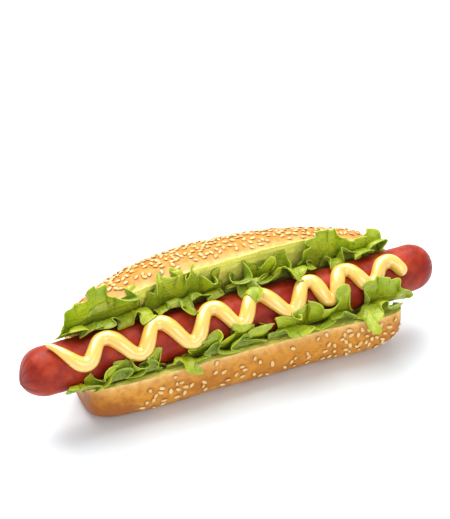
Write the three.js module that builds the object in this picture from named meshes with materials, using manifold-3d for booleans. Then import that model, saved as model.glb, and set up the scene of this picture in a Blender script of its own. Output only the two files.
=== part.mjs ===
// A hot dog: a sesame bun cut open along its front, a long sausage lying in it,
// a zigzag of mustard on the sausage and frilly lettuce leaves above and below it.
// Millimetres. X runs along the bun, Y to its closed back, Z up from the table.
import * as THREE from "three";
import { ParametricGeometry } from "three/addons/geometries/ParametricGeometry.js";
import { mergeVertices } from "three/addons/utils/BufferGeometryUtils.js";
import Module from "manifold-3d";

// ---------------------------------------------------------------- driving dimensions
const FRAME_SHIFT = new THREE.Vector3(4, -5.8, 0); // puts the origin under the middle of the whole

// Tables in BUN run from the left end to the right end in even steps.
const BUN = {
  halfLength: 86,
  lowerShift: -1.6, // the lower half sits this far along X
  upperShift: -0.8,
  hingeY: 18.1, // crease where the two crumb faces meet
  hingeZ: 19.3,
  backOverhang: 6, // crust behind the crease
  lowerFace: [37, 36, 36, 37.5, 45], // width of the lower crumb face
  lowerTilt: 13.5, // degrees by which its front rim is raised
  upperFace: [39.5, 45, 45, 41, 32],
  upperOpening: [77, 79.5, 83, 88, 86], // degrees from the level to the upper face
  upperThickness: [17.5, 28.5, 31, 26, 24],
  squareness: 2.5, // exponent of the crust's round section
  lowerSweep: 142, // degrees each crust runs round its face, past the crease at the back
  upperSweep: 140,
  creaseRound: 2.4, // the crumb rounds off the crease by this much
  frontBulge: 2.5, // the lower crust swells this far past its rim
  endRound: 5, // exponents of the blunt ends
  endThickness: 5.7,
  endNarrowing: 0.45,
  endReach: 6, // leaves keep clear of the bun this far past its ends
  endMeeting: 0.35, // where crust and crumb meet at the ends, 0 = crumb, 1 = crust
  flatSink: 2.4, // depth pressed flat against the table
  troughGap: 0.45, // the crumb keeps this far from the sausage
  troughFlare: 2.2, // and this much more at the front, where the leaves go in
  crustLump: 0.45, // height of the gentle unevenness
  crumbRough: 0.25,
  rowCrowding: 1.8, // rows along the bun are closer together towards its ends
};
const SAUSAGE = {
  left: new THREE.Vector3(-106, 0.5, 35.5), // centres of the round ends
  right: new THREE.Vector3(98, 2.7, 34.3),
  radius: 12.5,
  curl: 1.2, // the right end turns up
  roundness: 0.9, // exponent of the round ends, under 1 for fuller ones
  folds: 9, // puckers round each tied end
  foldDepth: 0.7,
  knot: 0.65, // height of the nub in the middle of each end
  knotWidth: 3,
};
const MUSTARD = {
  radius: 3.15,
  centre: 14.6, // from the sausage's axis
  tail: 13, // length of the thin start
  tip: 1.6, // length over which its very tip closes
  tailShare: 0.35, // how thin it starts
  unevenness: 0.05,
  shoulder: 2.4, // half width of each turn
  turns: [
    // along X, degrees up from the front
    [-104, 96],
    [-89.5, 34],
    [-73, 76],
    [-61, 23],
    [-44.5, 78],
    [-33, 17],
    [-15.5, 79],
    [-7.5, 27],
    [10, 77],
    [21.5, 25],
    [36.5, 75],
    [43, 27],
    [59.5, 80],
    [66.5, 32],
    [83.5, 71],
    [88.5, 36],
  ],
};
const LEAF = {
  thickness: 0.7,
  gap: 0.35, // kept to whatever the leaf lies against
  slack: 0.45, // added to the gap, for the flat facets
  overRope: 1.7, // added where a leaf crosses the mustard
  spread: 0.2, // how far a lobe widens past its neck, as a share of its pitch
  ripple: 7, // degrees by which the small ruffles swing
  rippleTurn: 4.7, // radians of ruffle from one lobe to the next
  settling: 3, // times each point is moved clear of everything
};
// A row of frills shares its root line, given as Y and Z at the left and the right end,
// the degrees at which it leaves the root, how late it bends and its steps outwards.
// Each lobe: place along X, degrees it leans (0 up, 90 forward), reach from the root.
const FRILLS = {
  upper_back: {
    roots: [
      [11.2, 44],
      [15, 40.5],
    ],
    start: 6,
    bend: 0.8,
    stepsOut: 4,
    leaves: {
      left: [
        [-94, 38, 8],
        [-88, 30, 19],
        [-81, 38, 26],
        [-74, 27, 29],
        [-66, 38, 24],
        [-58, 26, 21],
        [-51, 34, 16],
      ],
      middle: [
        [-49, 26, 20],
        [-43, 22, 22.5],
        [-36, 36, 22],
        [-29, 17, 21.5],
        [-21, 34, 20],
        [-13, 14, 17],
        [-6, 30, 15],
      ],
      right: [
        [-4, 24, 16],
        [4, 11, 20],
        [12, 34, 21],
        [19, 9, 21.5],
        [26, 32, 18],
        [33, 12, 17],
      ],
      end: [
        [35, 14, 20],
        [42, -2, 24],
        [49, 16, 24],
        [56, -6, 24.5],
        [63, 24, 21],
        [69, 0, 20],
        [75, 26, 17],
        [80, -4, 19],
        [86, 20, 14],
      ],
    },
  },
  upper_front: {
    roots: [
      [8.6, 46.4],
      [12, 44.2],
    ],
    start: 15,
    bend: 0.8,
    stepsOut: 4,
    leaves: {
      left: [
        [-91, 80, 10],
        [-84, 122, 18],
        [-77, 76, 14],
        [-69, 110, 16],
        [-61, 132, 24],
        [-53, 74, 15],
        [-47, 112, 16],
      ],
      middle: [
        [-46, 92, 16],
        [-40, 134, 27],
        [-33, 72, 15],
        [-27, 104, 17],
        [-20, 138, 27],
        [-12, 74, 15],
        [-6, 110, 16],
      ],
      right: [
        [-4, 84, 13],
        [4, 98, 15],
        [13, 128, 23],
        [21, 72, 14],
        [28, 112, 17],
        [34, 78, 15],
        [41, 134, 27],
        [47, 92, 16],
      ],
      end: [
        [49, 76, 13],
        [57, 112, 17],
        [64, 70, 13],
        [72, 108, 16],
        [79, 72, 13],
        [85, 102, 13],
      ],
    },
  },
  lower_back: {
    roots: [
      [-6.6, 25],
      [-6.6, 24.6],
    ],
    start: 52,
    bend: 0.7,
    stepsOut: 4,
    leaves: {
      left: [
        [-90, 32, 10],
        [-84, 0, 15],
        [-77, 24, 18],
        [-69, -6, 17],
        [-61, 20, 19],
        [-54, -4, 17],
        [-46, 24, 14],
      ],
      middle: [
        [-40, 28, 13],
        [-31, 2, 18],
        [-23, 18, 21],
        [-14, -6, 19],
        [-5, 18, 20],
        [3, -6, 20],
        [11, 22, 18],
      ],
      right: [
        [13, 20, 20],
        [19, -4, 24],
        [27, 20, 21],
        [34, -8, 24],
        [42, 20, 20],
        [51, -12, 27],
        [58, 22, 20],
      ],
      end: [
        [61, 18, 19],
        [68, -6, 26],
        [76, -16, 29],
        [83, 0, 23],
        [89, 30, 14],
      ],
    },
  },
  lower_front: {
    roots: [
      [-12, 27.6],
      [-14, 28.3],
    ],
    start: 72,
    bend: 1.3,
    stepsOut: 5,
    leaves: {
      left: [
        [-102, 80, 8],
        [-94, 96, 12],
        [-87, 50, 10],
        [-80, 88, 6],
        [-72, 34, 11],
        [-64, 88, 6],
        [-57, 36, 11],
        [-49, 84, 6],
      ],
      middle: [
        [-47, 60, 7],
        [-39, 82, 8],
        [-31, 150, 19],
        [-23, 44, 11],
        [-15, 84, 6],
        [-8, 38, 11],
        [0, 84, 6],
        [7, 50, 9],
      ],
      right: [
        [9, 60, 8],
        [16, 60, 9],
        [24, 152, 19],
        [32, 44, 11],
        [40, 84, 6],
        [48, 40, 11],
        [58, 82, 7],
      ],
      end: [
        [60, 70, 8],
        [65, 96, 15],
        [72, 144, 24],
        [79, 84, 13],
        [85, 60, 12],
        [91, 86, 8],
      ],
    },
  },
};
const SEEDS = {
  upper: { count: 84, band: [0.66, 0.96], draw: 11 }, // bands of the crust, from rim to rim
  lower: { count: 28, band: [0.03, 0.19], draw: 29 },
  alongBun: 0.93, // share of the bun's length that carries seeds
  spacing: 5.5,
  tries: 6000,
  lowest: 4, // none nearer to the table
  length: 1.65, // half sizes
  width: 1.05,
  height: 0.6,
  sunk: 0.1,
};
const DETAIL = {
  bunAround: 18, // steps over the crust, and as many over the crumb
  bunAlong: 28,
  crustArc: 8, // points that draw each crust's arc
  sausageAround: 20,
  capSteps: 7,
  barrelSteps: 12,
  mustardAround: 8,
  mustardAlong: 66,
  mustardBeads: 240, // spheres that stand for the rope where leaves keep clear of it
  leafAlong: 3, // steps per lobe
  leafCurl: 12, // steps that bend a leaf from its root to its frill
  outlineSteps: 48, // of the bun's outline where leaves keep clear of it
  outlinesPerHalf: 400,
};

// ---------------------------------------------------------------- small helpers
const wasm = await Module();
wasm.setup();

const radians = THREE.MathUtils.degToRad;
const smooth = (t) => THREE.MathUtils.smoothstep(t, 0, 1);
const power = (value, exponent) => Math.sign(value) * Math.abs(value) ** exponent;

// Catmull-Rom value of a list of numbers or number pairs at t from 0 to 1.
function along(list, t) {
  const last = list.length - 1;
  const place = THREE.MathUtils.clamp(t, 0, 1) * last;
  const i = Math.min(Math.floor(place), last - 1);
  const f = place - i;
  const spline = (a, b, c, d) =>
    0.5 * (2 * b + (c - a) * f + (2 * a - 5 * b + 4 * c - d) * f * f + (3 * b - a - 3 * c + d) * f ** 3);
  const before = list[Math.max(i - 1, 0)];
  const after = list[Math.min(i + 2, last)];
  if (typeof list[0] === "number") return spline(before, list[i], list[i + 1], after);
  return list[0].map((_, k) => spline(before[k], list[i][k], list[i + 1][k], after[k]));
}

// Evenly distributed random numbers from 0 to 1, the same on every run.
function randomFrom(seed) {
  let state = seed;
  return () => {
    state = (state * 16807) % 2147483647;
    return state / 2147483647;
  };
}

// A closed geometry as a manifold solid: shared corners merged, collapsed triangles dropped.
function toSolid(geometry) {
  const bare = geometry.clone();
  bare.deleteAttribute("normal");
  bare.deleteAttribute("uv");
  const merged = mergeVertices(bare, 1e-3);
  const kept = [];
  for (let i = 0; i < merged.index.count; i += 3) {
    const [a, b, c] = [0, 1, 2].map((k) => merged.index.getX(i + k));
    if (a !== b && b !== c && c !== a) kept.push(a, b, c);
  }
  return new wasm.Manifold(
    new wasm.Mesh({
      numProp: 3,
      vertProperties: new Float32Array(merged.attributes.position.array),
      triVerts: new Uint32Array(kept),
    }),
  );
}

function toGeometry(solid) {
  const mesh = solid.getMesh();
  const geometry = new THREE.BufferGeometry();
  geometry.setAttribute("position", new THREE.BufferAttribute(mesh.vertProperties, 3));
  geometry.setIndex(new THREE.BufferAttribute(mesh.triVerts, 1));
  geometry.computeVertexNormals();
  return geometry;
}

// ---------------------------------------------------------------- bun
// The crust's outline and the crumb's outline in the YZ plane, k from -1 to 1 along the bun.
// Both run from the lower rim round the hinge to the upper rim.
function bunOutlines(k) {
  const t = (k + 1) / 2;
  const taper = (exponent) => Math.max(0, 1 - Math.abs(k) ** exponent) ** (1 / exponent);
  const plan = 1 - BUN.endNarrowing * (1 - taper(BUN.endRound));
  const tilt = radians(BUN.lowerTilt);
  const opening = radians(along(BUN.upperOpening, t));
  const lowerWidth = along(BUN.lowerFace, t) * plan;
  const upperWidth = along(BUN.upperFace, t) * plan;
  const thickness = along(BUN.upperThickness, t);
  const hinge = [BUN.hingeY, BUN.hingeZ];
  const lowerWay = [-Math.cos(tilt), Math.sin(tilt)];
  const upperWay = [-Math.cos(opening), Math.sin(opening)];
  const upperOut = [Math.sin(opening), Math.cos(opening)];
  const on = (way, distance) => [hinge[0] + way[0] * distance, hinge[1] + way[1] * distance];
  // Both crusts are superellipse arcs over their faces, the faces run on behind the hinge.
  const steps = DETAIL.crustArc;
  const crust = [];
  for (let i = 0; i <= steps; i++) {
    const angle = (radians(BUN.lowerSweep) * i) / steps;
    const half = (lowerWidth + BUN.backOverhang) / 2;
    const base = on(lowerWay, half - BUN.backOverhang + half * power(Math.cos(angle), 2 / BUN.squareness));
    const depth = power(Math.sin(angle), 2 / BUN.squareness);
    const swell = Math.cos(angle) > 0 ? BUN.frontBulge * 4 * depth * (1 - depth) : 0;
    crust.push([base[0] - swell, base[1] - (base[1] + BUN.flatSink) * depth]);
  }
  for (let i = 0; i <= steps; i++) {
    const angle = radians(BUN.upperSweep) * (1 - i / steps);
    const half = (upperWidth + BUN.backOverhang) / 2;
    const base = on(upperWay, half - BUN.backOverhang + half * power(Math.cos(angle), 2 / BUN.squareness));
    const height = thickness * power(Math.sin(angle), 2 / BUN.squareness);
    crust.push([base[0] + upperOut[0] * height, base[1] + upperOut[1] * height]);
  }
  const crumb = [1, 0.8, 0.6, 0.4, 0.22].map((share) => on(lowerWay, lowerWidth * share));
  crumb.push([hinge[0] - BUN.creaseRound, hinge[1] + BUN.creaseRound]);
  crumb.push(...[0.2, 0.4, 0.6, 0.8, 1].map((share) => on(upperWay, upperWidth * share)));
  return { crust, crumb, thick: taper(BUN.endThickness) };
}

// The sausage's axis at x, and a point's distance from it, in the YZ plane.
function axisAt(x) {
  const t = (x - SAUSAGE.left.x) / (SAUSAGE.right.x - SAUSAGE.left.x);
  const axis = new THREE.Vector3().lerpVectors(SAUSAGE.left, SAUSAGE.right, t);
  axis.x = x;
  axis.z += SAUSAGE.curl * Math.max(0, t - 0.75) * 4;
  return axis;
}

// The crumb gives way to the sausage: a trough that widens towards the front, for the leaves.
function pressed(x, point) {
  const axis = axisAt(x);
  const [dy, dz] = [point[0] - axis.y, point[1] - axis.z];
  const distance = Math.hypot(dy, dz);
  const forward = smooth((-dy / distance + 0.1) / 0.6);
  const trough = SAUSAGE.radius + BUN.troughGap + BUN.troughFlare * forward;
  if (distance >= trough) return point;
  return [axis.y + (dy * trough) / distance, axis.z + (dz * trough) / distance];
}

const lumps = (x, s) => Math.sin(x * 0.13 + s * 5) + Math.sin(x * 0.071 - s * 9 + 1.7);
const crumbs = (x, s) => Math.sin(x * 0.21 + s * 7) + Math.sin(x * 0.11 - s * 11 + 2);

// A point of the bun's skin: side 1 is the crust, side 0 the crumb, s from rim to rim.
function bunPoint(k, s, side) {
  const { crust, crumb, thick } = bunOutlines(k);
  const shift = THREE.MathUtils.lerp(BUN.lowerShift, BUN.upperShift, smooth((s - 0.35) / 0.3));
  const x = k * BUN.halfLength + shift;
  const outer = pressed(x, along(crust, s));
  const inner = pressed(x, along(crumb, s));
  const across = [outer[0] - inner[0], outer[1] - inner[1]];
  const depth = Math.hypot(...across) || 1;
  const meet = BUN.endMeeting;
  const share = side ? meet + (1 - meet) * thick : meet * (1 - thick);
  const fade = thick * Math.sin(Math.PI * s);
  const relief = fade * (side ? BUN.crustLump * lumps(x, s) : BUN.crumbRough * crumbs(x, s));
  const out = share + relief / Math.max(depth, 4);
  const y = inner[0] + across[0] * out;
  const z = inner[1] + across[1] * out;
  return new THREE.Vector3(x, y, side ? Math.max(z, 0) : z);
}

const towardsEnds = (t) => Math.sign(t) * (1 - (1 - Math.abs(t)) ** BUN.rowCrowding);

function bunSolid() {
  const skin = (u, v, target) => {
    const side = u < 0.5 ? 1 : 0;
    const s = side ? u * 2 : 2 - u * 2;
    target.copy(bunPoint(towardsEnds(v * 2 - 1), s, side));
  };
  return toSolid(new ParametricGeometry(skin, DETAIL.bunAround * 2, DETAIL.bunAlong));
}

// ---------------------------------------------------------------- seeds
// A spot on the facets of the crust, with its outward normal and the way along the bun.
function crustFrame(crustMesh, k, s) {
  const step = 0.01;
  const reach = 6;
  const at = bunPoint(k, s, 1);
  const lengthways = bunPoint(k + step, s, 1).sub(bunPoint(k - step, s, 1)).normalize();
  const over = bunPoint(k, s + step, 1).sub(bunPoint(k, s - step, 1));
  const normal = new THREE.Vector3().crossVectors(over, lengthways).normalize();
  const from = at.clone().addScaledVector(normal, reach);
  const ray = new THREE.Raycaster(from, normal.clone().negate(), 0, reach * 2);
  const hits = ray.intersectObject(crustMesh);
  return hits.length ? { at: hits[0].point, normal, lengthways } : null;
}

function seedSolid(frame, turn) {
  const seed = new THREE.SphereGeometry(1, 5, 3);
  seed.scale(SEEDS.length, SEEDS.width, SEEDS.height);
  seed.rotateZ(turn);
  seed.translate(0, 0, -SEEDS.sunk);
  const sideways = new THREE.Vector3().crossVectors(frame.normal, frame.lengthways);
  const basis = new THREE.Matrix4().makeBasis(frame.lengthways, sideways, frame.normal);
  basis.setPosition(frame.at);
  return toSolid(seed.applyMatrix4(basis));
}

// Seeds scattered over a band of the crust, none closer together than the spacing.
function scatterSeeds(crustMesh, { count, band, draw }) {
  const random = randomFrom(draw);
  const placed = [];
  for (let tries = 0; tries < SEEDS.tries && placed.length < count; tries++) {
    const k = THREE.MathUtils.lerp(-SEEDS.alongBun, SEEDS.alongBun, random());
    const s = THREE.MathUtils.lerp(band[0], band[1], random());
    const frame = crustFrame(crustMesh, k, s);
    if (!frame || frame.at.z < SEEDS.lowest) continue;
    const free = placed.every((other) => other.frame.at.distanceTo(frame.at) > SEEDS.spacing);
    if (free) placed.push({ frame, turn: random() * Math.PI });
  }
  return placed.map(({ frame, turn }) => seedSolid(frame, turn));
}

// ---------------------------------------------------------------- sausage
function sausageGeometry() {
  const { radius, roundness, folds, foldDepth, knot, knotWidth } = SAUSAGE;
  const half = SAUSAGE.left.distanceTo(SAUSAGE.right) / 2;
  const profile = [];
  for (let i = 0; i <= DETAIL.capSteps; i++) {
    const angle = (Math.PI / 2) * (i / DETAIL.capSteps);
    profile.push(new THREE.Vector2(radius * Math.sin(angle) ** roundness, -half - radius * Math.cos(angle)));
  }
  for (let i = 1; i < DETAIL.barrelSteps; i++) {
    profile.push(new THREE.Vector2(radius, half * ((2 * i) / DETAIL.barrelSteps - 1)));
  }
  for (let i = DETAIL.capSteps; i >= 0; i--) {
    const angle = (Math.PI / 2) * (i / DETAIL.capSteps);
    profile.push(new THREE.Vector2(radius * Math.sin(angle) ** roundness, half + radius * Math.cos(angle)));
  }
  const geometry = new THREE.LatheGeometry(profile, DETAIL.sausageAround);
  geometry.rotateZ(-Math.PI / 2); // the axis now runs along X
  const middle = (SAUSAGE.left.x + SAUSAGE.right.x) / 2;
  const place = geometry.attributes.position;
  for (let i = 0; i < place.count; i++) {
    const [x, y, z] = [place.getX(i), place.getY(i), place.getZ(i)];
    const reach = Math.hypot(y, z);
    const past = THREE.MathUtils.clamp((Math.abs(x) - half) / radius, 0, 1);
    const pucker = foldDepth * past * Math.min(1, (reach / radius) * 3) * (reach / radius);
    const tuck = 1 - (pucker * (0.5 + 0.5 * Math.cos(folds * Math.atan2(z, y)))) / Math.max(reach, 1);
    const drawn = Math.sign(x) * knot * past * Math.exp(-((reach / knotWidth) ** 2));
    const axis = axisAt(x + middle);
    place.setXYZ(i, x + middle + drawn, axis.y + y * tuck, axis.z + z * tuck);
  }
  return geometry;
}

// ---------------------------------------------------------------- mustard
// The rope's centre line, drawn as a zigzag on the unrolled skin of the sausage.
class MustardLine extends THREE.Curve {
  constructor() {
    super();
    const perDegree = (MUSTARD.centre * Math.PI) / 180;
    const flat = [];
    MUSTARD.turns.forEach(([x, angle], i) => {
      const inner = i > 0 && i < MUSTARD.turns.length - 1;
      const shoulder = inner ? MUSTARD.shoulder : 0;
      flat.push(new THREE.Vector3(x - shoulder, angle * perDegree, 0));
      if (inner) flat.push(new THREE.Vector3(x + shoulder, angle * perDegree, 0));
    });
    this.perDegree = perDegree;
    this.flat = new THREE.CatmullRomCurve3(flat, false, "centripetal");
  }

  getPoint(t, target = new THREE.Vector3()) {
    const flat = this.flat.getPointAt(t);
    const angle = radians(flat.y / this.perDegree);
    const axis = axisAt(flat.x);
    return target.set(
      flat.x,
      axis.y - MUSTARD.centre * Math.cos(angle),
      axis.z + MUSTARD.centre * Math.sin(angle),
    );
  }
}

const mustardLine = new MustardLine();

// Thin at its start, round at its end, and a little fuller here and there.
function mustardRadius(t) {
  const run = t * mustardLine.flat.getLength();
  const rest = (1 - t) * mustardLine.flat.getLength();
  const tail = MUSTARD.tailShare + (1 - MUSTARD.tailShare) * smooth(run / MUSTARD.tail);
  const startRound = Math.sqrt(THREE.MathUtils.clamp(run / MUSTARD.tip, 0, 1));
  const endRound = Math.sqrt(Math.max(0, 1 - (1 - Math.min(1, rest / MUSTARD.radius)) ** 2));
  const uneven = 1 + MUSTARD.unevenness * Math.sin(run * 0.31);
  return MUSTARD.radius * tail * startRound * endRound * uneven;
}

function mustardSolid(sausage) {
  const step = 0.002;
  const rope = (u, v, target) => {
    const centre = mustardLine.getPoint(v);
    const ahead = mustardLine.getPoint(Math.min(1, v + step));
    const behind = mustardLine.getPoint(Math.max(0, v - step));
    const forward = ahead.sub(behind).normalize();
    const axis = axisAt(centre.x);
    const outward = centre.clone().sub(axis).normalize();
    const sideways = new THREE.Vector3().crossVectors(forward, outward).normalize();
    const angle = 2 * Math.PI * u;
    const radius = mustardRadius(v);
    target.copy(centre);
    target.addScaledVector(outward, radius * Math.cos(angle));
    target.addScaledVector(sideways, radius * Math.sin(angle));
  };
  const whole = toSolid(new ParametricGeometry(rope, DETAIL.mustardAround, DETAIL.mustardAlong));
  return whole.subtract(sausage);
}

// The sausage's skin moved out by a gap, for cutting what lies on it.
function sausageWithGap(gap) {
  const geometry = sausageGeometry();
  const place = geometry.attributes.position;
  for (let i = 0; i < place.count; i++) {
    const axis = axisAt(place.getX(i));
    const [dy, dz] = [place.getY(i) - axis.y, place.getZ(i) - axis.z];
    const reach = Math.hypot(dy, dz) || 1;
    place.setY(i, place.getY(i) + (dy * gap) / reach);
    place.setZ(i, place.getZ(i) + (dz * gap) / reach);
  }
  return toSolid(geometry);
}

// ---------------------------------------------------------------- lettuce
// A leaf's sheet before it settles: u along the row of lobes, v from the root to the frill.
function leafPoint(row, lobes, u, v) {
  const pitch = u * (lobes.length - 1);
  const i = Math.min(Math.floor(pitch), lobes.length - 2);
  const f = pitch - i;
  const [fromX, fromLean, fromReach] = lobes[i];
  const [toX, toLean, toReach] = lobes[i + 1];
  const blend = smooth(smooth(f));
  const swell = LEAF.spread * (toX - fromX) * Math.sin(2 * Math.PI * f) * v * v;
  const ripple = LEAF.ripple * Math.sin(fromX + pitch * LEAF.rippleTurn) * v;
  const lean = THREE.MathUtils.lerp(fromLean, toLean, blend) + ripple;
  const reach = THREE.MathUtils.lerp(fromReach, toReach, blend);
  const x = fromX + (toX - fromX) * f + swell;
  const [left, right] = row.roots;
  const t = (x + BUN.halfLength) / (2 * BUN.halfLength);
  const point = new THREE.Vector3(x, left[0] + (right[0] - left[0]) * t, left[1] + (right[1] - left[1]) * t);
  const steps = DETAIL.leafCurl;
  for (let n = 0; n < steps; n++) {
    const w = ((n + 0.5) / steps) * v;
    const angle = radians(row.start + (lean - row.start) * w ** row.bend);
    point.y -= (Math.sin(angle) * reach * v) / steps;
    point.z += (Math.cos(angle) * reach * v) / steps;
  }
  return point;
}

// The bun's closed outline at x, as points in the YZ plane.
const outlineCache = new Map();
function bunOutlineAt(x) {
  const steps = DETAIL.outlineSteps;
  const middle = (BUN.lowerShift + BUN.upperShift) / 2;
  const k = THREE.MathUtils.clamp((x - middle) / BUN.halfLength, -0.98, 0.98);
  const key = Math.round(k * DETAIL.outlinesPerHalf);
  if (!outlineCache.has(key)) {
    const outline = [];
    const at = key / DETAIL.outlinesPerHalf;
    for (let i = 0; i < steps; i++) outline.push(bunPoint(at, i / steps, 1));
    for (let i = steps; i > 0; i--) outline.push(bunPoint(at, i / steps, 0));
    outlineCache.set(key, outline);
  }
  return outlineCache.get(key);
}

// Moves a point out of the bun, or away from its skin, to the given distance.
function clearOfBun(point, distance) {
  if (Math.abs(point.x) > BUN.halfLength + BUN.endReach) return;
  const outline = bunOutlineAt(point.x);
  let nearest = Infinity;
  let inside = false;
  const foot = new THREE.Vector2();
  for (let i = 0; i < outline.length; i++) {
    const a = outline[i];
    const b = outline[(i + 1) % outline.length];
    const [ey, ez] = [b.y - a.y, b.z - a.z];
    const length = ey * ey + ez * ez || 1e-9;
    const t = THREE.MathUtils.clamp(((point.y - a.y) * ey + (point.z - a.z) * ez) / length, 0, 1);
    const [fy, fz] = [a.y + ey * t, a.z + ez * t];
    const away = Math.hypot(point.y - fy, point.z - fz);
    if (away < nearest) {
      nearest = away;
      foot.set(fy, fz);
    }
    const crosses = a.z > point.z !== b.z > point.z;
    if (crosses && point.y < a.y + (ey * (point.z - a.z)) / ez) inside = !inside;
  }
  if (!inside && nearest >= distance) return;
  const sign = inside ? -1 : 1;
  const scale = (distance * sign) / Math.max(nearest, 1e-6);
  point.y = foot.x + (point.y - foot.x) * scale;
  point.z = foot.y + (point.z - foot.y) * scale;
}

function clearOfSausage(point, distance) {
  const x = THREE.MathUtils.clamp(point.x, SAUSAGE.left.x, SAUSAGE.right.x);
  const away = point.clone().sub(axisAt(x));
  if (away.length() >= distance) return;
  point.copy(axisAt(x)).addScaledVector(away.normalize(), distance);
}

const ropeBeads = Array.from({ length: DETAIL.mustardBeads + 1 }, (_, i) => ({
  at: mustardLine.getPoint(i / DETAIL.mustardBeads),
  radius: mustardRadius(i / DETAIL.mustardBeads),
}));

// How far and in which direction a point lies from the sausage's axis, 0 to the front.
function aroundSausage(point) {
  const axis = axisAt(point.x);
  const [dy, dz] = [point.y - axis.y, point.z - axis.z];
  return { axis, distance: Math.hypot(dy, dz), angle: Math.atan2(dz, -dy) };
}

// Lifts a point off the rope, straight away from the sausage's axis.
function clearOfMustard(point, distance) {
  const { axis, distance: away, angle } = aroundSausage(point);
  let needed = 0;
  for (const bead of ropeBeads) {
    const lengthways = point.x - bead.at.x;
    const round = MUSTARD.centre * (angle - aroundSausage(bead.at).angle);
    const free = (bead.radius + distance) ** 2 - lengthways ** 2 - round ** 2;
    if (free > 0) needed = Math.max(needed, MUSTARD.centre + Math.sqrt(free));
  }
  if (away >= needed) return;
  point.y = axis.y + ((point.y - axis.y) * needed) / away;
  point.z = axis.z + ((point.z - axis.z) * needed) / away;
}

// The sheet settled clear of everything, with a face on either side that meet at its edge.
function leafSolid(row, lobes) {
  const columns = (lobes.length - 1) * DETAIL.leafAlong;
  const rows = row.stepsOut;
  const half = LEAF.thickness / 2;
  const clearance = half + LEAF.gap + LEAF.slack;
  const sheet = new ParametricGeometry(
    (u, v, target) => target.copy(leafPoint(row, lobes, u, v)),
    columns,
    rows,
  );
  const place = sheet.attributes.position;
  const point = new THREE.Vector3();
  for (let i = 0; i < place.count; i++) {
    point.fromBufferAttribute(place, i);
    for (let pass = 0; pass < LEAF.settling; pass++) {
      clearOfMustard(point, clearance + LEAF.overRope);
      clearOfSausage(point, SAUSAGE.radius + clearance);
      clearOfBun(point, clearance);
    }
    place.setXYZ(i, point.x, point.y, point.z);
  }
  sheet.computeVertexNormals();
  const normals = sheet.attributes.normal;
  const corners = [];
  for (const face of [1, -1]) {
    for (let i = 0; i < place.count; i++) {
      const column = i % (columns + 1);
      const line = Math.floor(i / (columns + 1));
      const rim = column === 0 || column === columns || line === 0 || line === rows;
      const offset = rim ? 0 : half * face;
      corners.push(
        place.getX(i) + normals.getX(i) * offset,
        place.getY(i) + normals.getY(i) * offset,
        place.getZ(i) + normals.getZ(i) * offset,
      );
    }
  }
  const front = Array.from(sheet.index.array);
  const back = [];
  for (let i = 0; i < front.length; i += 3) {
    const [a, b, c] = front.slice(i, i + 3).map((corner) => corner + place.count);
    back.push(a, c, b);
  }
  const geometry = new THREE.BufferGeometry();
  geometry.setAttribute("position", new THREE.Float32BufferAttribute(corners, 3));
  geometry.setIndex([...front, ...back]);
  return toSolid(geometry);
}

// ---------------------------------------------------------------- the whole
const FINISH = {
  crust: { color: "#d7995a", roughness: 0.55, metalness: 0 },
  skin: { color: "#a83a2a", roughness: 0.35, metalness: 0 },
  mustard: { color: "#f3d37a", roughness: 0.25, metalness: 0 },
  leaf: { color: "#86b23c", roughness: 0.5, metalness: 0, side: THREE.DoubleSide },
};

const hotDog = new THREE.Group();

function addPiece(name, solid, finish) {
  const mesh = new THREE.Mesh(toGeometry(solid), new THREE.MeshStandardMaterial(finish));
  mesh.name = name;
  hotDog.add(mesh);
}

const bread = bunSolid();
const breadMesh = new THREE.Mesh(toGeometry(bread));
const seeds = [...scatterSeeds(breadMesh, SEEDS.upper), ...scatterSeeds(breadMesh, SEEDS.lower)];
addPiece("bun", wasm.Manifold.union([bread, ...seeds]), FINISH.crust);
addPiece("sausage", toSolid(sausageGeometry()), FINISH.skin);
addPiece("mustard", mustardSolid(sausageWithGap(LEAF.gap)), FINISH.mustard);
for (const [rowName, row] of Object.entries(FRILLS)) {
  for (const [leafName, lobes] of Object.entries(row.leaves)) {
    addPiece(`lettuce_${rowName}_${leafName}`, leafSolid(row, lobes), FINISH.leaf);
  }
}
hotDog.position.copy(FRAME_SHIFT);

export default hotDog;
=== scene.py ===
"""Looks of a hot dog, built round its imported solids.

Shapes are worked out in millimetres in a working frame, with X along the bun, Y to its closed back and
Z up, and are put into the part's own frame, in metres, when a mesh is made. Every shape is a function of
two parameters on a grid, computed as whole arrays.
"""
import logging
import math
from dataclasses import dataclass, field
from enum import Enum

import bpy
import numpy as np
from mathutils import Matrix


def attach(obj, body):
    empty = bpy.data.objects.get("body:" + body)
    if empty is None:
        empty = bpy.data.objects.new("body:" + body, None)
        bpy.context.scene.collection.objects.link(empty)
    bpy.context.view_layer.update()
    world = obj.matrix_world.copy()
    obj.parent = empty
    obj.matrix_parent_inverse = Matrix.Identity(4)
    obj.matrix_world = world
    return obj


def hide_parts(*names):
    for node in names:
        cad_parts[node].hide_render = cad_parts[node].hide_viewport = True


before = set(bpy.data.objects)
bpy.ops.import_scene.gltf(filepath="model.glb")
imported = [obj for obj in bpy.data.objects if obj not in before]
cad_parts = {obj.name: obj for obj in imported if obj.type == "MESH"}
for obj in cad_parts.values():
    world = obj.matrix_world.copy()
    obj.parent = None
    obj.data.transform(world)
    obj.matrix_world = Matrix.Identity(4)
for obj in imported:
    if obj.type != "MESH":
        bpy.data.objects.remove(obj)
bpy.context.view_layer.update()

Array = np.ndarray
Floats = tuple[float, ...]
Pair = tuple[float, float]
Triple = tuple[float, float, float]
Colour = Triple
Material = bpy.types.Material
Object = bpy.types.Object
Socket = bpy.types.NodeSocket
Tree = bpy.types.NodeTree

log = logging.getLogger("hot_dog")

MILLIMETRE = 0.001
FRAME_SHIFT = np.array([4.0, -5.8, 0.0])  # from the working frame to the part's frame
WELD_DISTANCE = 1e-6  # metres
BODY = "root"
SURFACE = "surface"


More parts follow.
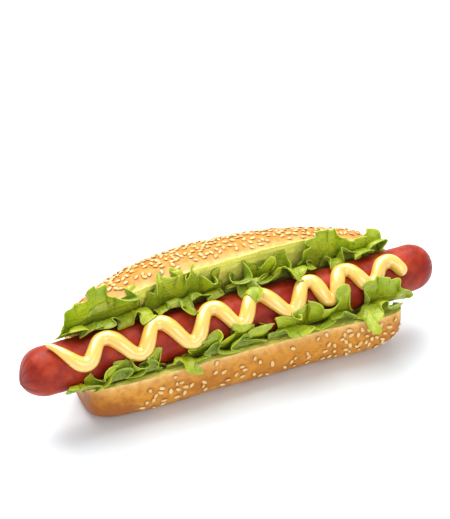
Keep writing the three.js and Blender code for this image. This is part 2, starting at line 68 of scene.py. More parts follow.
class Slot(Enum):
    """Material slots of the record."""

    CRUST = "crust"
    SKIN = "skin"
    MUSTARD = "mustard"
    LETTUCE = "lettuce"


class Side(Enum):
    """The two skins of the bread: baked crust outside, cut crumb inside."""

    CRUST = 1
    CRUMB = 0


# ---- arithmetic on arrays
def smooth(t: Array) -> Array:
    """Smoothstep of t held between 0 and 1."""
    t = np.clip(t, 0.0, 1.0)
    return t * t * (3.0 - 2.0 * t)


def ramp(x: Array, start: float, end: float) -> Array:
    """Smoothstep from 0 at the start to 1 at the end."""
    return smooth((x - start) / (end - start))


def mix(a: Array, b: Array, t: Array) -> Array:
    """Straight blend from a to b by t."""
    return a + (b - a) * t


def signed_power(value: Array, exponent: float) -> Array:
    """Power of the size of a value, with its sign kept."""
    return np.sign(value) * np.abs(value) ** exponent


def bell(x: Array, middle: float, width: float) -> Array:
    """Gaussian bump of height 1."""
    return np.exp(-(((x - middle) / width) ** 2))


def unit(vectors: Array) -> Array:
    """Vectors scaled to length 1."""
    return vectors / np.maximum(np.linalg.norm(vectors, axis=-1, keepdims=True), 1e-9)


def circle(count: int) -> Array:
    """Angles of a full turn in even steps."""
    return np.linspace(0, 2 * math.pi, count, endpoint=False)


def spline(controls: Array, t: Array, columns: tuple[Array, ...] = ()) -> Array:
    """Catmull-Rom curve through evenly spaced controls.

    Args:
        controls: the controls on the first axis, with any further axes.
        t: places from 0 to 1, of any shape.
        columns: the column of controls for each place on the last axis of t, where they stand in columns.

    Returns:
        The curve's values, of the shape of t with the controls' further axes.
    """
    controls = np.asarray(controls, float)
    last = len(controls) - 1
    place = np.clip(t, 0.0, 1.0) * last
    i = np.minimum(place.astype(int), last - 1)
    a, b, c, d = (controls[(np.clip(i + step, 0, last), *columns)] for step in (-1, 0, 1, 2))
    f = (place - i).reshape(place.shape + (1,) * (b.ndim - place.ndim))
    return 0.5 * (
        2 * b + (c - a) * f + (2 * a - 5 * b + 4 * c - d) * f**2 + (3 * b - a - 3 * c + d) * f**3
    )


def unevenness(x: Array, y: Array, size: float, seed: int, waves: int = 9) -> Array:
    """Gentle random relief: a sum of plane waves with random directions, lengths and phases.

    Args:
        x: first coordinate.
        y: second coordinate.
        size: usual wavelength, in the unit of x and y.
        seed: picks the random draw.
        waves: number of waves.

    Returns:
        Heights, mostly between -1 and 1.
    """
    draw = np.random.default_rng(seed)
    total = np.zeros(np.broadcast(x, y).shape)
    draws = [draw.uniform(low, high, waves) for low, high in ((0, math.pi), (0.6, 1.7), (0, 6.3))]
    for angle, length, phase in zip(*draws):
        along = x * math.cos(angle) + y * math.sin(angle)
        total += np.sin(2 * math.pi * along / (size * length) + phase)
    return total / math.sqrt(waves)


def grid_quads(rows: int, columns: int, ring: bool = True) -> Array:
    """Corner numbers of the quads of a grid of points, row by row.

    Args:
        rows: rows of points.
        columns: points in a row.
        ring: whether the last column joins the first.

    Returns:
        Array (quads, 4).
    """
    r, c = np.meshgrid(np.arange(rows - 1), np.arange(columns - 1 + ring), indexing="ij")
    low, high, right = r * columns, (r + 1) * columns, (c + 1) % columns
    return np.stack([low + c, low + right, high + right, high + c], axis=-1).reshape(-1, 4)


# ---- objects
def enclosed(points: Array, quads: Array) -> float:
    """Signed volume inside a closed grid of quads, positive when its faces point out."""
    a, b, c, d = (points[quads[:, i]] for i in range(4))
    halves = np.cross(b - a, c - a) + np.cross(c - a, d - a)
    return float((halves * (a + b + c + d)).sum() / 24.0)


def add_object(name: str, data: bpy.types.ID) -> Object:
    """Makes an object of its data and puts it in the scene."""
    made = bpy.data.objects.new(name, data)
    bpy.context.scene.collection.objects.link(made)
    return made


def make_piece(name: str, node: str, material: Material, points: Array, quads: Array,
               shares: dict[str, Array], uv: Array | None = None) -> Object:
    """Makes one closed, smooth-shaded piece and ties it to the frame.

    Args:
        name: the piece's name.
        node: the CAD node that it stands for.
        material: its finish.
        points: corners (..., 3) in millimetres, in the working frame.
        quads: corner numbers (m, 4).
        shares: values per corner that its material reads by name.
        uv: a place (..., 2) on the piece's own surface for each corner.

    Returns:
        The new object.
    """
    points = points.reshape(-1, 3)
    if enclosed(points, quads) < 0:
        quads = quads[:, ::-1]
    mesh = bpy.data.meshes.new(name)
    mesh.vertices.add(len(points))
    mesh.vertices.foreach_set("co", ((points + FRAME_SHIFT) * MILLIMETRE).astype(np.float32).ravel())
    mesh.loops.add(quads.size)
    mesh.loops.foreach_set("vertex_index", quads.astype(np.int32).ravel())
    mesh.polygons.add(len(quads))
    mesh.polygons.foreach_set("loop_start", np.arange(0, quads.size, 4, dtype=np.int32))
    mesh.polygons.foreach_set("use_smooth", np.ones(len(quads), bool))
    for share, values in shares.items():
        layer = mesh.attributes.new(share, "FLOAT", "POINT")
        layer.data.foreach_set("value", np.asarray(values, np.float32).ravel())
    if uv is not None:
        places = uv.reshape(-1, 2)[quads.ravel()]
        mesh.uv_layers.new(name=SURFACE).data.foreach_set("uv", places.astype(np.float32).ravel())
    mesh.update()
    mesh.validate()
    piece = add_object(name, mesh)
    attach(piece, BODY)
    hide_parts(node)
    log.info("%s: %d corners, %d faces, for %s", name, len(points), len(quads), node)
    weld = piece.modifiers.new("weld", "WELD")  # closes the seams at the ends of a grid
    weld.merge_threshold = WELD_DISTANCE
    with bpy.context.temp_override(object=piece, active_object=piece, selected_objects=[piece]):
        bpy.ops.object.modifier_apply(modifier=weld.name)
    piece.data.materials.append(material)
    return piece


# ---- node graphs
class Graph:
    """A node tree with short calls for the nodes that the finishes use."""

    def __init__(self, tree: Tree) -> None:
        """Wraps a tree."""
        self.tree = tree

    def put(self, socket: Socket, value: object) -> None:
        """Links an output to an input, or sets the input's constant, a colour with full opacity."""
        if isinstance(value, Socket):
            self.tree.links.new(value, socket)
        else:
            socket.default_value = (*value, 1.0) if socket.type == "RGBA" else value

    def node(self, kind: str, output: str | int, inputs: dict | None = None, **settings: object) -> Socket:
        """Adds a node.

        Args:
            kind: the node's type, without its common prefix.
            output: name or number of the output to give back.
            inputs: values or output sockets for named or numbered inputs.
            settings: the node's own properties.

        Returns:
            The node's output.
        """
        made = self.tree.nodes.new("ShaderNode" + kind)
        for setting, value in settings.items():
            setattr(made, setting, value)
        for key, value in (inputs or {}).items():
            self.put(made.inputs[key], value)
        return made.outputs[output]

    def place(self) -> Socket:
        """Object coordinates."""
        return self.node("TexCoord", "Object")

    def surface(self, across: float = 1.0, along: float = 1.0) -> Socket:
        """Places on the piece's own surface, scaled each way."""
        place = self.node("UVMap", "UV", uv_map=SURFACE)
        return self.node("Mapping", "Vector", {"Vector": place, "Scale": (across, along, 1.0)})

    def share(self, name: str) -> Socket:
        """A value that the mesh holds per corner."""
        return self.node("Attribute", "Fac", attribute_name=name)

    def noise(self, vector: Socket, scale: object, detail: float, rough: float = 0.55) -> Socket:
        """Noise around 0.5, scale in repeats for each unit of the vector."""
        inputs = {"Vector": vector, "Scale": scale, "Detail": detail, "Roughness": rough}
        return self.node("TexNoise", "Fac", inputs)

    def cells(self, vector: Socket, scale: object, feature: str = "F1") -> Socket:
        """A pattern of cells, by the distance to their middles or to their edges."""
        return self.node("TexVoronoi", "Distance", {"Vector": vector, "Scale": scale}, feature=feature)

    def spread(self, value: Socket, low: float, high: float, to_low: float = 0.0,
               to_high: float = 1.0) -> Socket:
        """Value mapped smoothly from one range to another and held there."""
        inputs = {0: value, 1: low, 2: high, 3: to_low, 4: to_high}
        return self.node("MapRange", 0, inputs, interpolation_type="SMOOTHSTEP")

    def calc(self, operation: str, *values: object) -> Socket:
        """A Math node of two or three values."""
        return self.node("Math", 0, dict(enumerate(values)), operation=operation)

    def blend(self, share: Socket, a: object, b: object) -> Socket:
        """Colour a turned into colour b by a share."""
        return self.node("Mix", 2, {0: share, 6: a, 7: b}, data_type="RGBA")

    def tint(self, a: object, b: object, value: Socket, *ends: float) -> Socket:
        """Colour a turned into colour b as a value passes through a range, with the ends of a spread."""
        return self.blend(self.spread(value, *ends), a, b)

    def bump(self, height: Socket, depth: float, strength: float = 1.0,
             normal: Socket | None = None) -> Socket:
        """Normals of a relief, its depth in metres, over those of another one."""
        inputs = {"Height": height, "Distance": depth, "Strength": strength}
        if normal is not None:
            inputs["Normal"] = normal
        return self.node("Bump", "Normal", inputs)


class NodeGroups:
    """Effects that several finishes share, each built once as a node group."""

    def __init__(self) -> None:
        """Builds the groups."""
        self.mottle = self._mottle()
        self.grain = self._grain()

    @staticmethod
    def _open(name: str, output: str) -> tuple[Graph, Socket, Socket, Socket]:
        """Starts a group that makes one value of a scale and a shift.

        Args:
            name: the group's name.
            output: the value's name.

        Returns:
            The graph, the shifted place, the scale and the socket that takes the value.
        """
        tree = bpy.data.node_groups.new(name, "ShaderNodeTree")
        for title, way in (("Scale", "INPUT"), ("Shift", "INPUT"), (output, "OUTPUT")):
            tree.interface.new_socket(title, in_out=way, socket_type="NodeSocketFloat")
        graph, entry = Graph(tree), tree.nodes.new("NodeGroupInput").outputs
        place = graph.node("VectorMath", 0, {0: graph.place(), 1: entry["Shift"]}, operation="ADD")
        return graph, place, entry["Scale"], tree.nodes.new("NodeGroupOutput").inputs[output]

    def _mottle(self) -> Tree:
        """Soft patches over finer ones, as on anything baked, cured or grown."""
        graph, place, scale, mask = self._open("soft_patches", "Mask")
        broad = graph.noise(place, scale, 2.0, 0.5)
        fine = graph.noise(place, graph.calc("MULTIPLY", scale, 4.3), 3.0, 0.5)
        graph.put(mask, graph.spread(graph.calc("MULTIPLY_ADD", fine, 0.4, broad), 0.5, 0.9))
        return graph.tree

    def _grain(self) -> Tree:
        """Fine even grain: pits of a cell pattern under noise."""
        graph, place, scale, height = self._open("fine_grain", "Height")
        dust = graph.noise(place, scale, 4.0, 0.5)
        graph.put(height, graph.calc("MULTIPLY_ADD", graph.cells(place, scale, "SMOOTH_F1"), 0.6, dust))
        return graph.tree


class Finish(Graph):
    """A material under construction, with its Principled shader."""

    def __init__(self, name: str) -> None:
        """Starts a material."""
        self.material = bpy.data.materials.new(name)
        self.material.use_nodes = True
        super().__init__(self.material.node_tree)

    def group(self, tree: Tree, scale: float, shift: float = 0.0) -> Socket:
        """Places a shared group with its own scale and shift, and gives its output."""
        return self.node("Group", 0, {"Scale": scale, "Shift": shift}, node_tree=tree)

    def done(self, **values: object) -> Material:
        """Sets inputs of the shader, with underscores for the spaces of their names, and ends the work."""
        inputs = self.tree.nodes["Principled BSDF"].inputs
        for name, value in values.items():
            self.put(inputs[name.replace("_", " ")], value)
        return self.material


# ---- bread
@dataclass(frozen=True)
class BreadFinish:
    """Baked crust and cut crumb, told apart by the share of crust that each corner holds."""

    pale: Colour = (0.71, 0.315, 0.060)
    golden: Colour = (0.62, 0.26, 0.024)
    brown: Colour = (0.33, 0.095, 0.008)
    rim: Colour = (0.80, 0.53, 0.20)
    # crumb and crumb_pores are the crumb near the rims with painted light: green-yellow as lit by the
    # lettuce, and brightened against the crust's shade; crumb_deep is the crumb's own cream further in
    crumb: Colour = (0.83, 0.79, 0.15)
    crumb_pores: Colour = (0.60, 0.58, 0.10)
    crumb_deep: Colour = (0.76, 0.58, 0.25)

    def build(self, groups: NodeGroups) -> Material:
        """Makes the material: browning and blotches on the crust with painted shade round the seeds, pores in
        the crumb with a painted green reflection of the lettuce near the rims.
        """
        g = Finish("bread")
        place, side = g.place(), g.share("crust")
        baked = g.calc("ADD", g.share("bake"), g.spread(g.group(groups.mottle, 60.0), 0.0, 1.0, -0.14, 0.14))
        crust = g.tint(self.pale, self.golden, baked, 0.0, 0.5)
        crust = g.tint(crust, self.brown, baked, 0.5, 1.0)
        crust = g.tint(crust, self.brown, g.group(groups.mottle, 260.0, 3.0), 0.45, 0.95, 0.0, 0.42)
        crust = g.tint(crust, self.brown, g.noise(place, 1100.0, 3.0), 0.5, 0.75, 0.0, 0.28)
        crust = g.tint(crust, self.brown, g.cells(place, 190.0), 0.1, 0.3, 0.4, 0.0)
        ragged = g.spread(g.noise(place, 320.0, 3.0), 0.3, 0.7, 0.55, 1.25)
        crust = g.blend(g.calc("MULTIPLY", g.share("rim"), ragged), crust, self.rim)
        # painted shade: the crust darkens round each seed, as in the seed's shadow
        crust = g.blend(g.calc("MULTIPLY", g.share("seeded"), 0.55), crust, self.brown)
        pores = g.noise(place, 900.0, 3.0)
        # painted reflection: the crumb is green-yellow near the rims, as lit by the lettuce, and fades to its
        # own cream further in
        crumb = g.blend(g.share("depth"), self.crumb, self.crumb_deep)
        crumb = g.tint(crumb, self.crumb_pores, pores, 0.5, 0.75, 0.0, 0.35)
        normal = g.bump(g.calc("MULTIPLY", g.group(groups.grain, 700.0), side), 0.00012)
        normal = g.bump(g.calc("MULTIPLY", pores, g.calc("SUBTRACT", 1.0, side)), 0.0006, 1.0, normal)
        normal = g.bump(g.noise(place, 230.0, 2.0), 0.0005, 0.5, normal)
        return g.done(
            Base_Color=g.blend(side, crumb, crust), Roughness=g.spread(side, 0.0, 1.0, 0.85, 0.46),
            Specular_IOR_Level=0.2, Normal=normal, Subsurface_Weight=0.12,
            Subsurface_Radius=(1.0, 0.5, 0.2), Subsurface_Scale=0.002,
        )


@dataclass(frozen=True)
class SeedFinish:
    """Hulled sesame: cream to lightly toasted, one tone per seed, with painted shade on its underside, where
    it meets the crust.
    """

    cream: Colour = (0.78, 0.57, 0.25)
    toasted: Colour = (0.68, 0.38, 0.11)
    # this colour is painted shade on each seed's underside, where it meets the crust
    edge: Colour = (0.48, 0.18, 0.03)

    def build(self, groups: NodeGroups) -> Material:
        """Makes the material."""
        g = Finish("sesame")
        tone = g.blend(g.share("toast"), self.cream, self.toasted)
        tone = g.tint(tone, self.toasted, g.share("tip"), 0.55, 1.0, 0.0, 0.35)
        # painted shade: the underside of each seed turns to the edge colour
        return g.done(
            Base_Color=g.blend(g.calc("MULTIPLY", g.share("low"), 0.75), tone, self.edge),
            Roughness=0.38, Normal=g.bump(g.group(groups.grain, 1500.0), 0.00006), Subsurface_Weight=0.15,
            Subsurface_Radius=(1.0, 0.6, 0.3), Subsurface_Scale=0.0008,
        )


@dataclass(frozen=True)
class Relief:
    """Unevenness of the bread: broad waves with finer dimples on them.

    A layer of dimples is its height, the width from rim to rim, the dimples' size and its random draw. A
    wave is its turn for each millimetre along the bun, its turn from rim to rim and its phase.
    """

    dimples: tuple[tuple[float, float, float, int], ...]
    height: float = 0.0
    waves: tuple[Triple, ...] = ()

    def at(self, x: Array, s: Array, fine: bool = True) -> Array:
        """Heights at places along the bun and from rim to rim, with or without the dimples."""
        total = self.height * sum(np.sin(x * along + s * wide + phase) for along, wide, phase in self.waves)
        for height, wide, size, seed in self.dimples if fine else ():
            total = total + height * unevenness(x, s * wide, size, seed)
        return total


@dataclass
class Bun:
    """The bread: two crusts and two crumb faces that meet in a crease at the back."""

    half_length: float = 86.0
    lower_shift: float = -1.6
    upper_shift: float = -0.8
    hinge: Pair = (18.1, 19.3)
    back_overhang: float = 6.0
    lower_face: Floats = (37, 36, 36, 37.5, 45)
    lower_tilt: float = 13.5
    upper_face: Floats = (39.5, 45, 45, 41, 32)
    upper_opening: Floats = (77, 79.5, 83, 88, 86)
    upper_thickness: Floats = (17.5, 28.5, 31, 26, 24)
    lower_steps: Floats = (1, 0.8, 0.6, 0.4, 0.22)
    upper_steps: Floats = (0.2, 0.4, 0.6, 0.8, 1)
    squareness: float = 2.5
    lower_sweep: float = 142.0
    upper_sweep: float = 140.0
    crease_round: float = 2.4
    front_bulge: float = 2.5
    end_round: float = 5.1
    end_thickness: float = 5.7
    end_narrowing: float = 0.45
    end_reach: float = 6.0
    end_meeting: float = 0.35
    flat_sink: float = 2.4
    trough_gap: float = 0.45
    trough_flare: float = 2.2
    side_shift: Pair = (0.35, 0.65)
    crust: Relief = Relief(((0.2, 190, 7, 5), (0.1, 190, 3.2, 6)), 0.45, ((0.13, 5, 0), (0.071, -9, 1.7)))
    crumb: Relief = Relief(((0.3, 90, 4.5, 7),), 0.25, ((0.21, 7, 0), (0.11, -11, 2)))
    rims: Relief = Relief(((0.7, 0, 15, 3), (0.45, 0, 4.5, 4)))
    lips: Relief = Relief(((0.4, 40, 9, 8), (0.35, 60, 3.4, 9)))
    lip_ridges: tuple[Triple, ...] = ((1, 0.93, 0.016), (0.5, 0.965, 0.01), (0.4, 0.045, 0.016))
    least_depth: float = 4.0
    row_crowding: float = 1.8
    torn_lip: float = 0.9
    ragged_rim: float = 0.55
    ragged_fade: Pair = (0.02, 0.035)
    ragged_lower: float = 0.5
    lip_mean: float = 0.6
    rim_widths: Pair = (0.022, 0.018)
    # how far from the rims the crumb's painted green reflection fades
    crumb_glow_fade: Pair = (0.12, 0.32)
    seed_dent: float = 0.22
    seed_reach: float = 1.75
    seed_blocks: int = 24
    core: Triple = (0.0, 0.0, 24.0)
    arc_points: int = 8
    rows: int = 290
    around: int = 124
    outline_steps: int = 48
    outline_end: float = 0.98

    def outlines(self, k: Array) -> tuple[Array, Array, Array]:
        """Outlines of crust and crumb across the bun, from the lower rim round the back to the upper one.

        Both crusts are superellipse arcs over their crumb faces, which run on behind the crease.

        Args:
            k: places along the bun from -1 to 1, shape (n,).

        Returns:
            Crust controls (18, n, 2), crumb controls (11, n, 2) and the share of thickness left, (n,).
        """
        t = (k + 1) / 2
        plan = 1 - self.end_narrowing * (1 - self._taper(k, self.end_round))
        tilt, opening = math.radians(self.lower_tilt), np.radians(spline(self.upper_opening, t))
        hinge = np.array(self.hinge)
        lower_way = np.array([-math.cos(tilt), math.sin(tilt)])
        upper_way = np.stack([-np.cos(opening), np.sin(opening)], -1)
        upper_out = np.stack([np.sin(opening), np.cos(opening)], -1)
        lower_width, upper_width = spline(self.lower_face, t) * plan, spline(self.upper_face, t) * plan
        share = np.linspace(0, 1, self.arc_points + 1)[:, None]
        base, depth, cosine = self._arc(math.radians(self.lower_sweep) * share, lower_width)
        lower = hinge + lower_way * base[..., None]
        lower[..., 0] -= np.where(cosine > 0, self.front_bulge * 4 * depth * (1 - depth), 0)
        lower[..., 1] -= (lower[..., 1] + self.flat_sink) * depth
        base, height, _ = self._arc(math.radians(self.upper_sweep) * (1 - share), upper_width)
        rise = spline(self.upper_thickness, t) * height
        upper = hinge + upper_way * base[..., None] + upper_out * rise[..., None]
        below, above = (np.array(steps)[:, None, None] for steps in (self.lower_steps, self.upper_steps))
        crumb = [
            hinge + lower_way * lower_width[:, None] * below,
            np.tile(hinge + self.crease_round * np.array([-1.0, 1.0]), (1, len(k), 1)),
            hinge + upper_way * upper_width[:, None] * above,
        ]
        return np.concatenate([lower, upper]), np.concatenate(crumb), self._taper(k, self.end_thickness)

    @staticmethod
    def _taper(k: Array, exponent: float) -> Array:
        """Superellipse fall from 1 in the middle to 0 at the ends."""
        return np.maximum(0, 1 - np.abs(k) ** exponent) ** (1 / exponent)

    def _arc(self, angle: Array, width: Array) -> tuple[Array, Array, Array]:
        """A superellipse arc over a face: distance from the crease, share of height, cosine."""
        half = (width + self.back_overhang) / 2
        across, height = (signed_power(wave(angle), 2 / self.squareness) for wave in (np.cos, np.sin))
        return half - self.back_overhang + half * across, height, np.cos(angle)

    def pressed(self, x: Array, points: Array) -> Array:
        """Points pushed out of the trough in which the sausage lies, wider towards the front."""
        axis = Sausage.axis_at(x)[..., 1:]
        away = points - axis
        distance = np.linalg.norm(away, axis=-1)
        forward = ramp(-away[..., 0] / distance, -0.1, 0.5)
        trough = Sausage.radius + self.trough_gap + self.trough_flare * forward
        return axis + away * np.maximum(1.0, trough / distance)[..., None]

    def skin(self, k: Array, s: Array, side: Side, fine: bool = True) -> Array:
        """Points of the bread's skin.

        Args:
            k: places along the bun from -1 to 1, shape (n,).
            s: places from the lower rim to the upper rim, shape (..., n).
            side: crust or crumb.
            fine: whether the dimples and the torn lip are added to the main shape.

        Returns:
            Points (..., n, 3).
        """
        crust, crumb, thick = self.outlines(k)
        x = k * self.half_length + mix(self.lower_shift, self.upper_shift, ramp(s, *self.side_shift))
        columns = (np.arange(len(k)),)
        outer, inner = (self.pressed(x, spline(curve, s, columns)) for curve in (crust, crumb))
        across = outer - inner
        fade = thick * np.sin(math.pi * s)
        if side is Side.CRUST:
            share = self.end_meeting + (1 - self.end_meeting) * thick
            relief = fade * self.crust.at(x, s, fine)
        else:
            share = self.end_meeting * (1 - thick)
            relief = fade * self.crumb.at(x, s, fine)
            if fine:
                relief = relief - thick * self._lip(x, s)
        out = share + relief / np.maximum(np.linalg.norm(across, axis=-1), self.least_depth)
        flat = inner + across * out[..., None]
        if fine:
            flat[..., 0] += thick * self._raggedness(x, s)
        z = np.maximum(flat[..., 1], 0) if side is Side.CRUST else flat[..., 1]
        return np.stack([np.broadcast_to(x, z.shape), flat[..., 0], z], -1)

    def _raggedness(self, x: Array, s: Array) -> Array:
        """How far the torn rims stand back from an even line, falling away from the rims."""
        lower, upper = self.ragged_fade
        fall = np.exp((s - 1) / upper) + self.ragged_lower * np.exp(-s / lower)
        return self.ragged_rim * self.rims.at(x, s) * fall

    def _lip(self, x: Array, s: Array) -> Array:
        """Height of the torn crumb that stands along both rims."""
        ridges = sum(high * bell(s, place, width) for high, place, width in self.lip_ridges)
        return self.torn_lip * np.maximum(self.lip_mean + self.lips.at(x, s), 0) * ridges

    def outline(self, k: Array) -> Array:
        """The bread's closed outline across it, shape (2 * steps, n, 2), for keeping things clear."""
        s = np.arange(self.outline_steps)[:, None] / self.outline_steps + np.zeros_like(k)
        outer = self.skin(k, s, Side.CRUST, fine=False)
        return np.concatenate([outer, self.skin(k, 1 - s, Side.CRUMB, fine=False)])[..., 1:]

    def cleared(self, points: Array, distance: float) -> Array:
        """Points moved out of the bread, or away from its skin, to a distance.

        Args:
            points: array (n, 3).
            distance: least distance from the skin, across the bun.

        Returns:
            The moved points.
        """
        middle = (self.lower_shift + self.upper_shift) / 2
        near = np.abs(points[:, 0]) <= self.half_length + self.end_reach
        at = points[near]
        along = (at[:, 0] - middle) / self.half_length
        outline = self.outline(np.clip(along, -self.outline_end, self.outline_end))
        edge = np.roll(outline, -1, axis=0) - outline
        offset = at[None, :, 1:] - outline
        length = np.maximum((edge**2).sum(-1), 1e-9)
        foot = outline + edge * np.clip((offset * edge).sum(-1) / length, 0, 1)[..., None]
        away = np.linalg.norm(at[None, :, 1:] - foot, axis=-1)
        nearest = away.argmin(axis=0), np.arange(len(at))
        foot, away = foot[nearest], away[nearest]
        low, high = outline[..., 1], outline[..., 1] + edge[..., 1]
        rise = np.where(np.abs(edge[..., 1]) < 1e-9, 1e-9, edge[..., 1])
        crossing = outline[..., 0] + edge[..., 0] * (at[:, 2] - low) / rise
        crosses = ((low > at[:, 2]) != (high > at[:, 2])) & (at[:, 1] < crossing)
        inside = crosses.sum(axis=0) % 2 == 1
        scale = np.where(inside, -distance, distance) / np.maximum(away, 1e-6)
        target = foot + (at[:, 1:] - foot) * scale[:, None]
        stuck = inside | (away < distance)
        at[stuck, 1:] = target[stuck]
        moved = points.copy()
        moved[near] = at
        return moved

    def bake(self, k: Array, s: Array) -> Array:
        """Browning of the crust: pale on top and at the rims, browner below and at the ends."""
        below = 0.66 - 0.34 * np.exp(-s / 0.04) - 0.12 * k
        above = 0.2 + 0.5 * ramp(s, 0.72, 0.52)
        return mix(below, above, ramp(s, 0.4, 0.52)) + 0.3 * np.abs(k) ** 7

    def build(self, material: Material, seeds: Array) -> Object:
        """Makes the bread: a ring of crust and crumb points for each row along the bun.

        Args:
            material: the bread's finish.
            seeds: places (n, 3) of the seeds, around which the crust sinks and takes a painted shade.

        Returns:
            The bread.
        """
        t = np.linspace(-1, 1, self.rows)
        k = np.sign(t) * (1 - (1 - np.abs(t)) ** self.row_crowding)
        even = np.linspace(0, 1, self.around + 1)
        s = (even + (1 - np.cos(math.pi * even)) / 2) / 2
        columns = s[:, None] + np.zeros_like(k)
        outer, inner = self.skin(k, columns, Side.CRUST), self.skin(k, columns, Side.CRUMB)[::-1]
        points = np.concatenate([outer[:-1], inner[:-1]]).transpose(1, 0, 2).reshape(-1, 3)
        both = np.concatenate([s[:-1], s[::-1][:-1]])
        is_crust = np.repeat([1.0, 0.0], self.around)
        to_rim = np.minimum(both, 1 - both)
        rim = is_crust * np.exp(-((to_rim / np.where(both > 0.5, *self.rim_widths)) ** 1.5))
        # nearness to a seed sinks the crust there, and the finish paints shade round the seed by it
        seeded = self._seeded(points, seeds) * np.tile(is_crust, self.rows)
        inward = unit((np.array(self.core) - points) * [0.0, 1.0, 1.0])
        # depth fades the crumb's painted green reflection into its own cream away from the rims
        shares = {"crust": is_crust, "rim": rim, "depth": ramp(to_rim, *self.crumb_glow_fade)}
        shares = {name: np.tile(share, self.rows) for name, share in shares.items()}
        shares.update(bake=self.bake(k[:, None], both), seeded=seeded)
        return make_piece(
            "bun_bread", "bun", material, points + inward * (self.seed_dent * seeded)[:, None],
            grid_quads(self.rows, len(both)), shares,
        )

    def _seeded(self, points: Array, seeds: Array) -> Array:
        """How close each corner is to a seed: 1 at its middle, falling as a bell over the reach."""
        nearest = np.full(len(points), np.inf)
        for block in np.array_split(seeds, self.seed_blocks):
            away = points[:, None, :] - block
            nearest = np.minimum(nearest, (away**2).sum(-1).min(axis=1))
        return np.exp(-((nearest / self.seed_reach**2) ** 1.5))


@dataclass(frozen=True)
class SeedPatch:
    """A patch of seeds on the crust, thick in its middle and thinning out towards its sides."""

    from_upper_rim: bool
    x: float
    down: float
    half_x: float
    half_down: float
    count: int


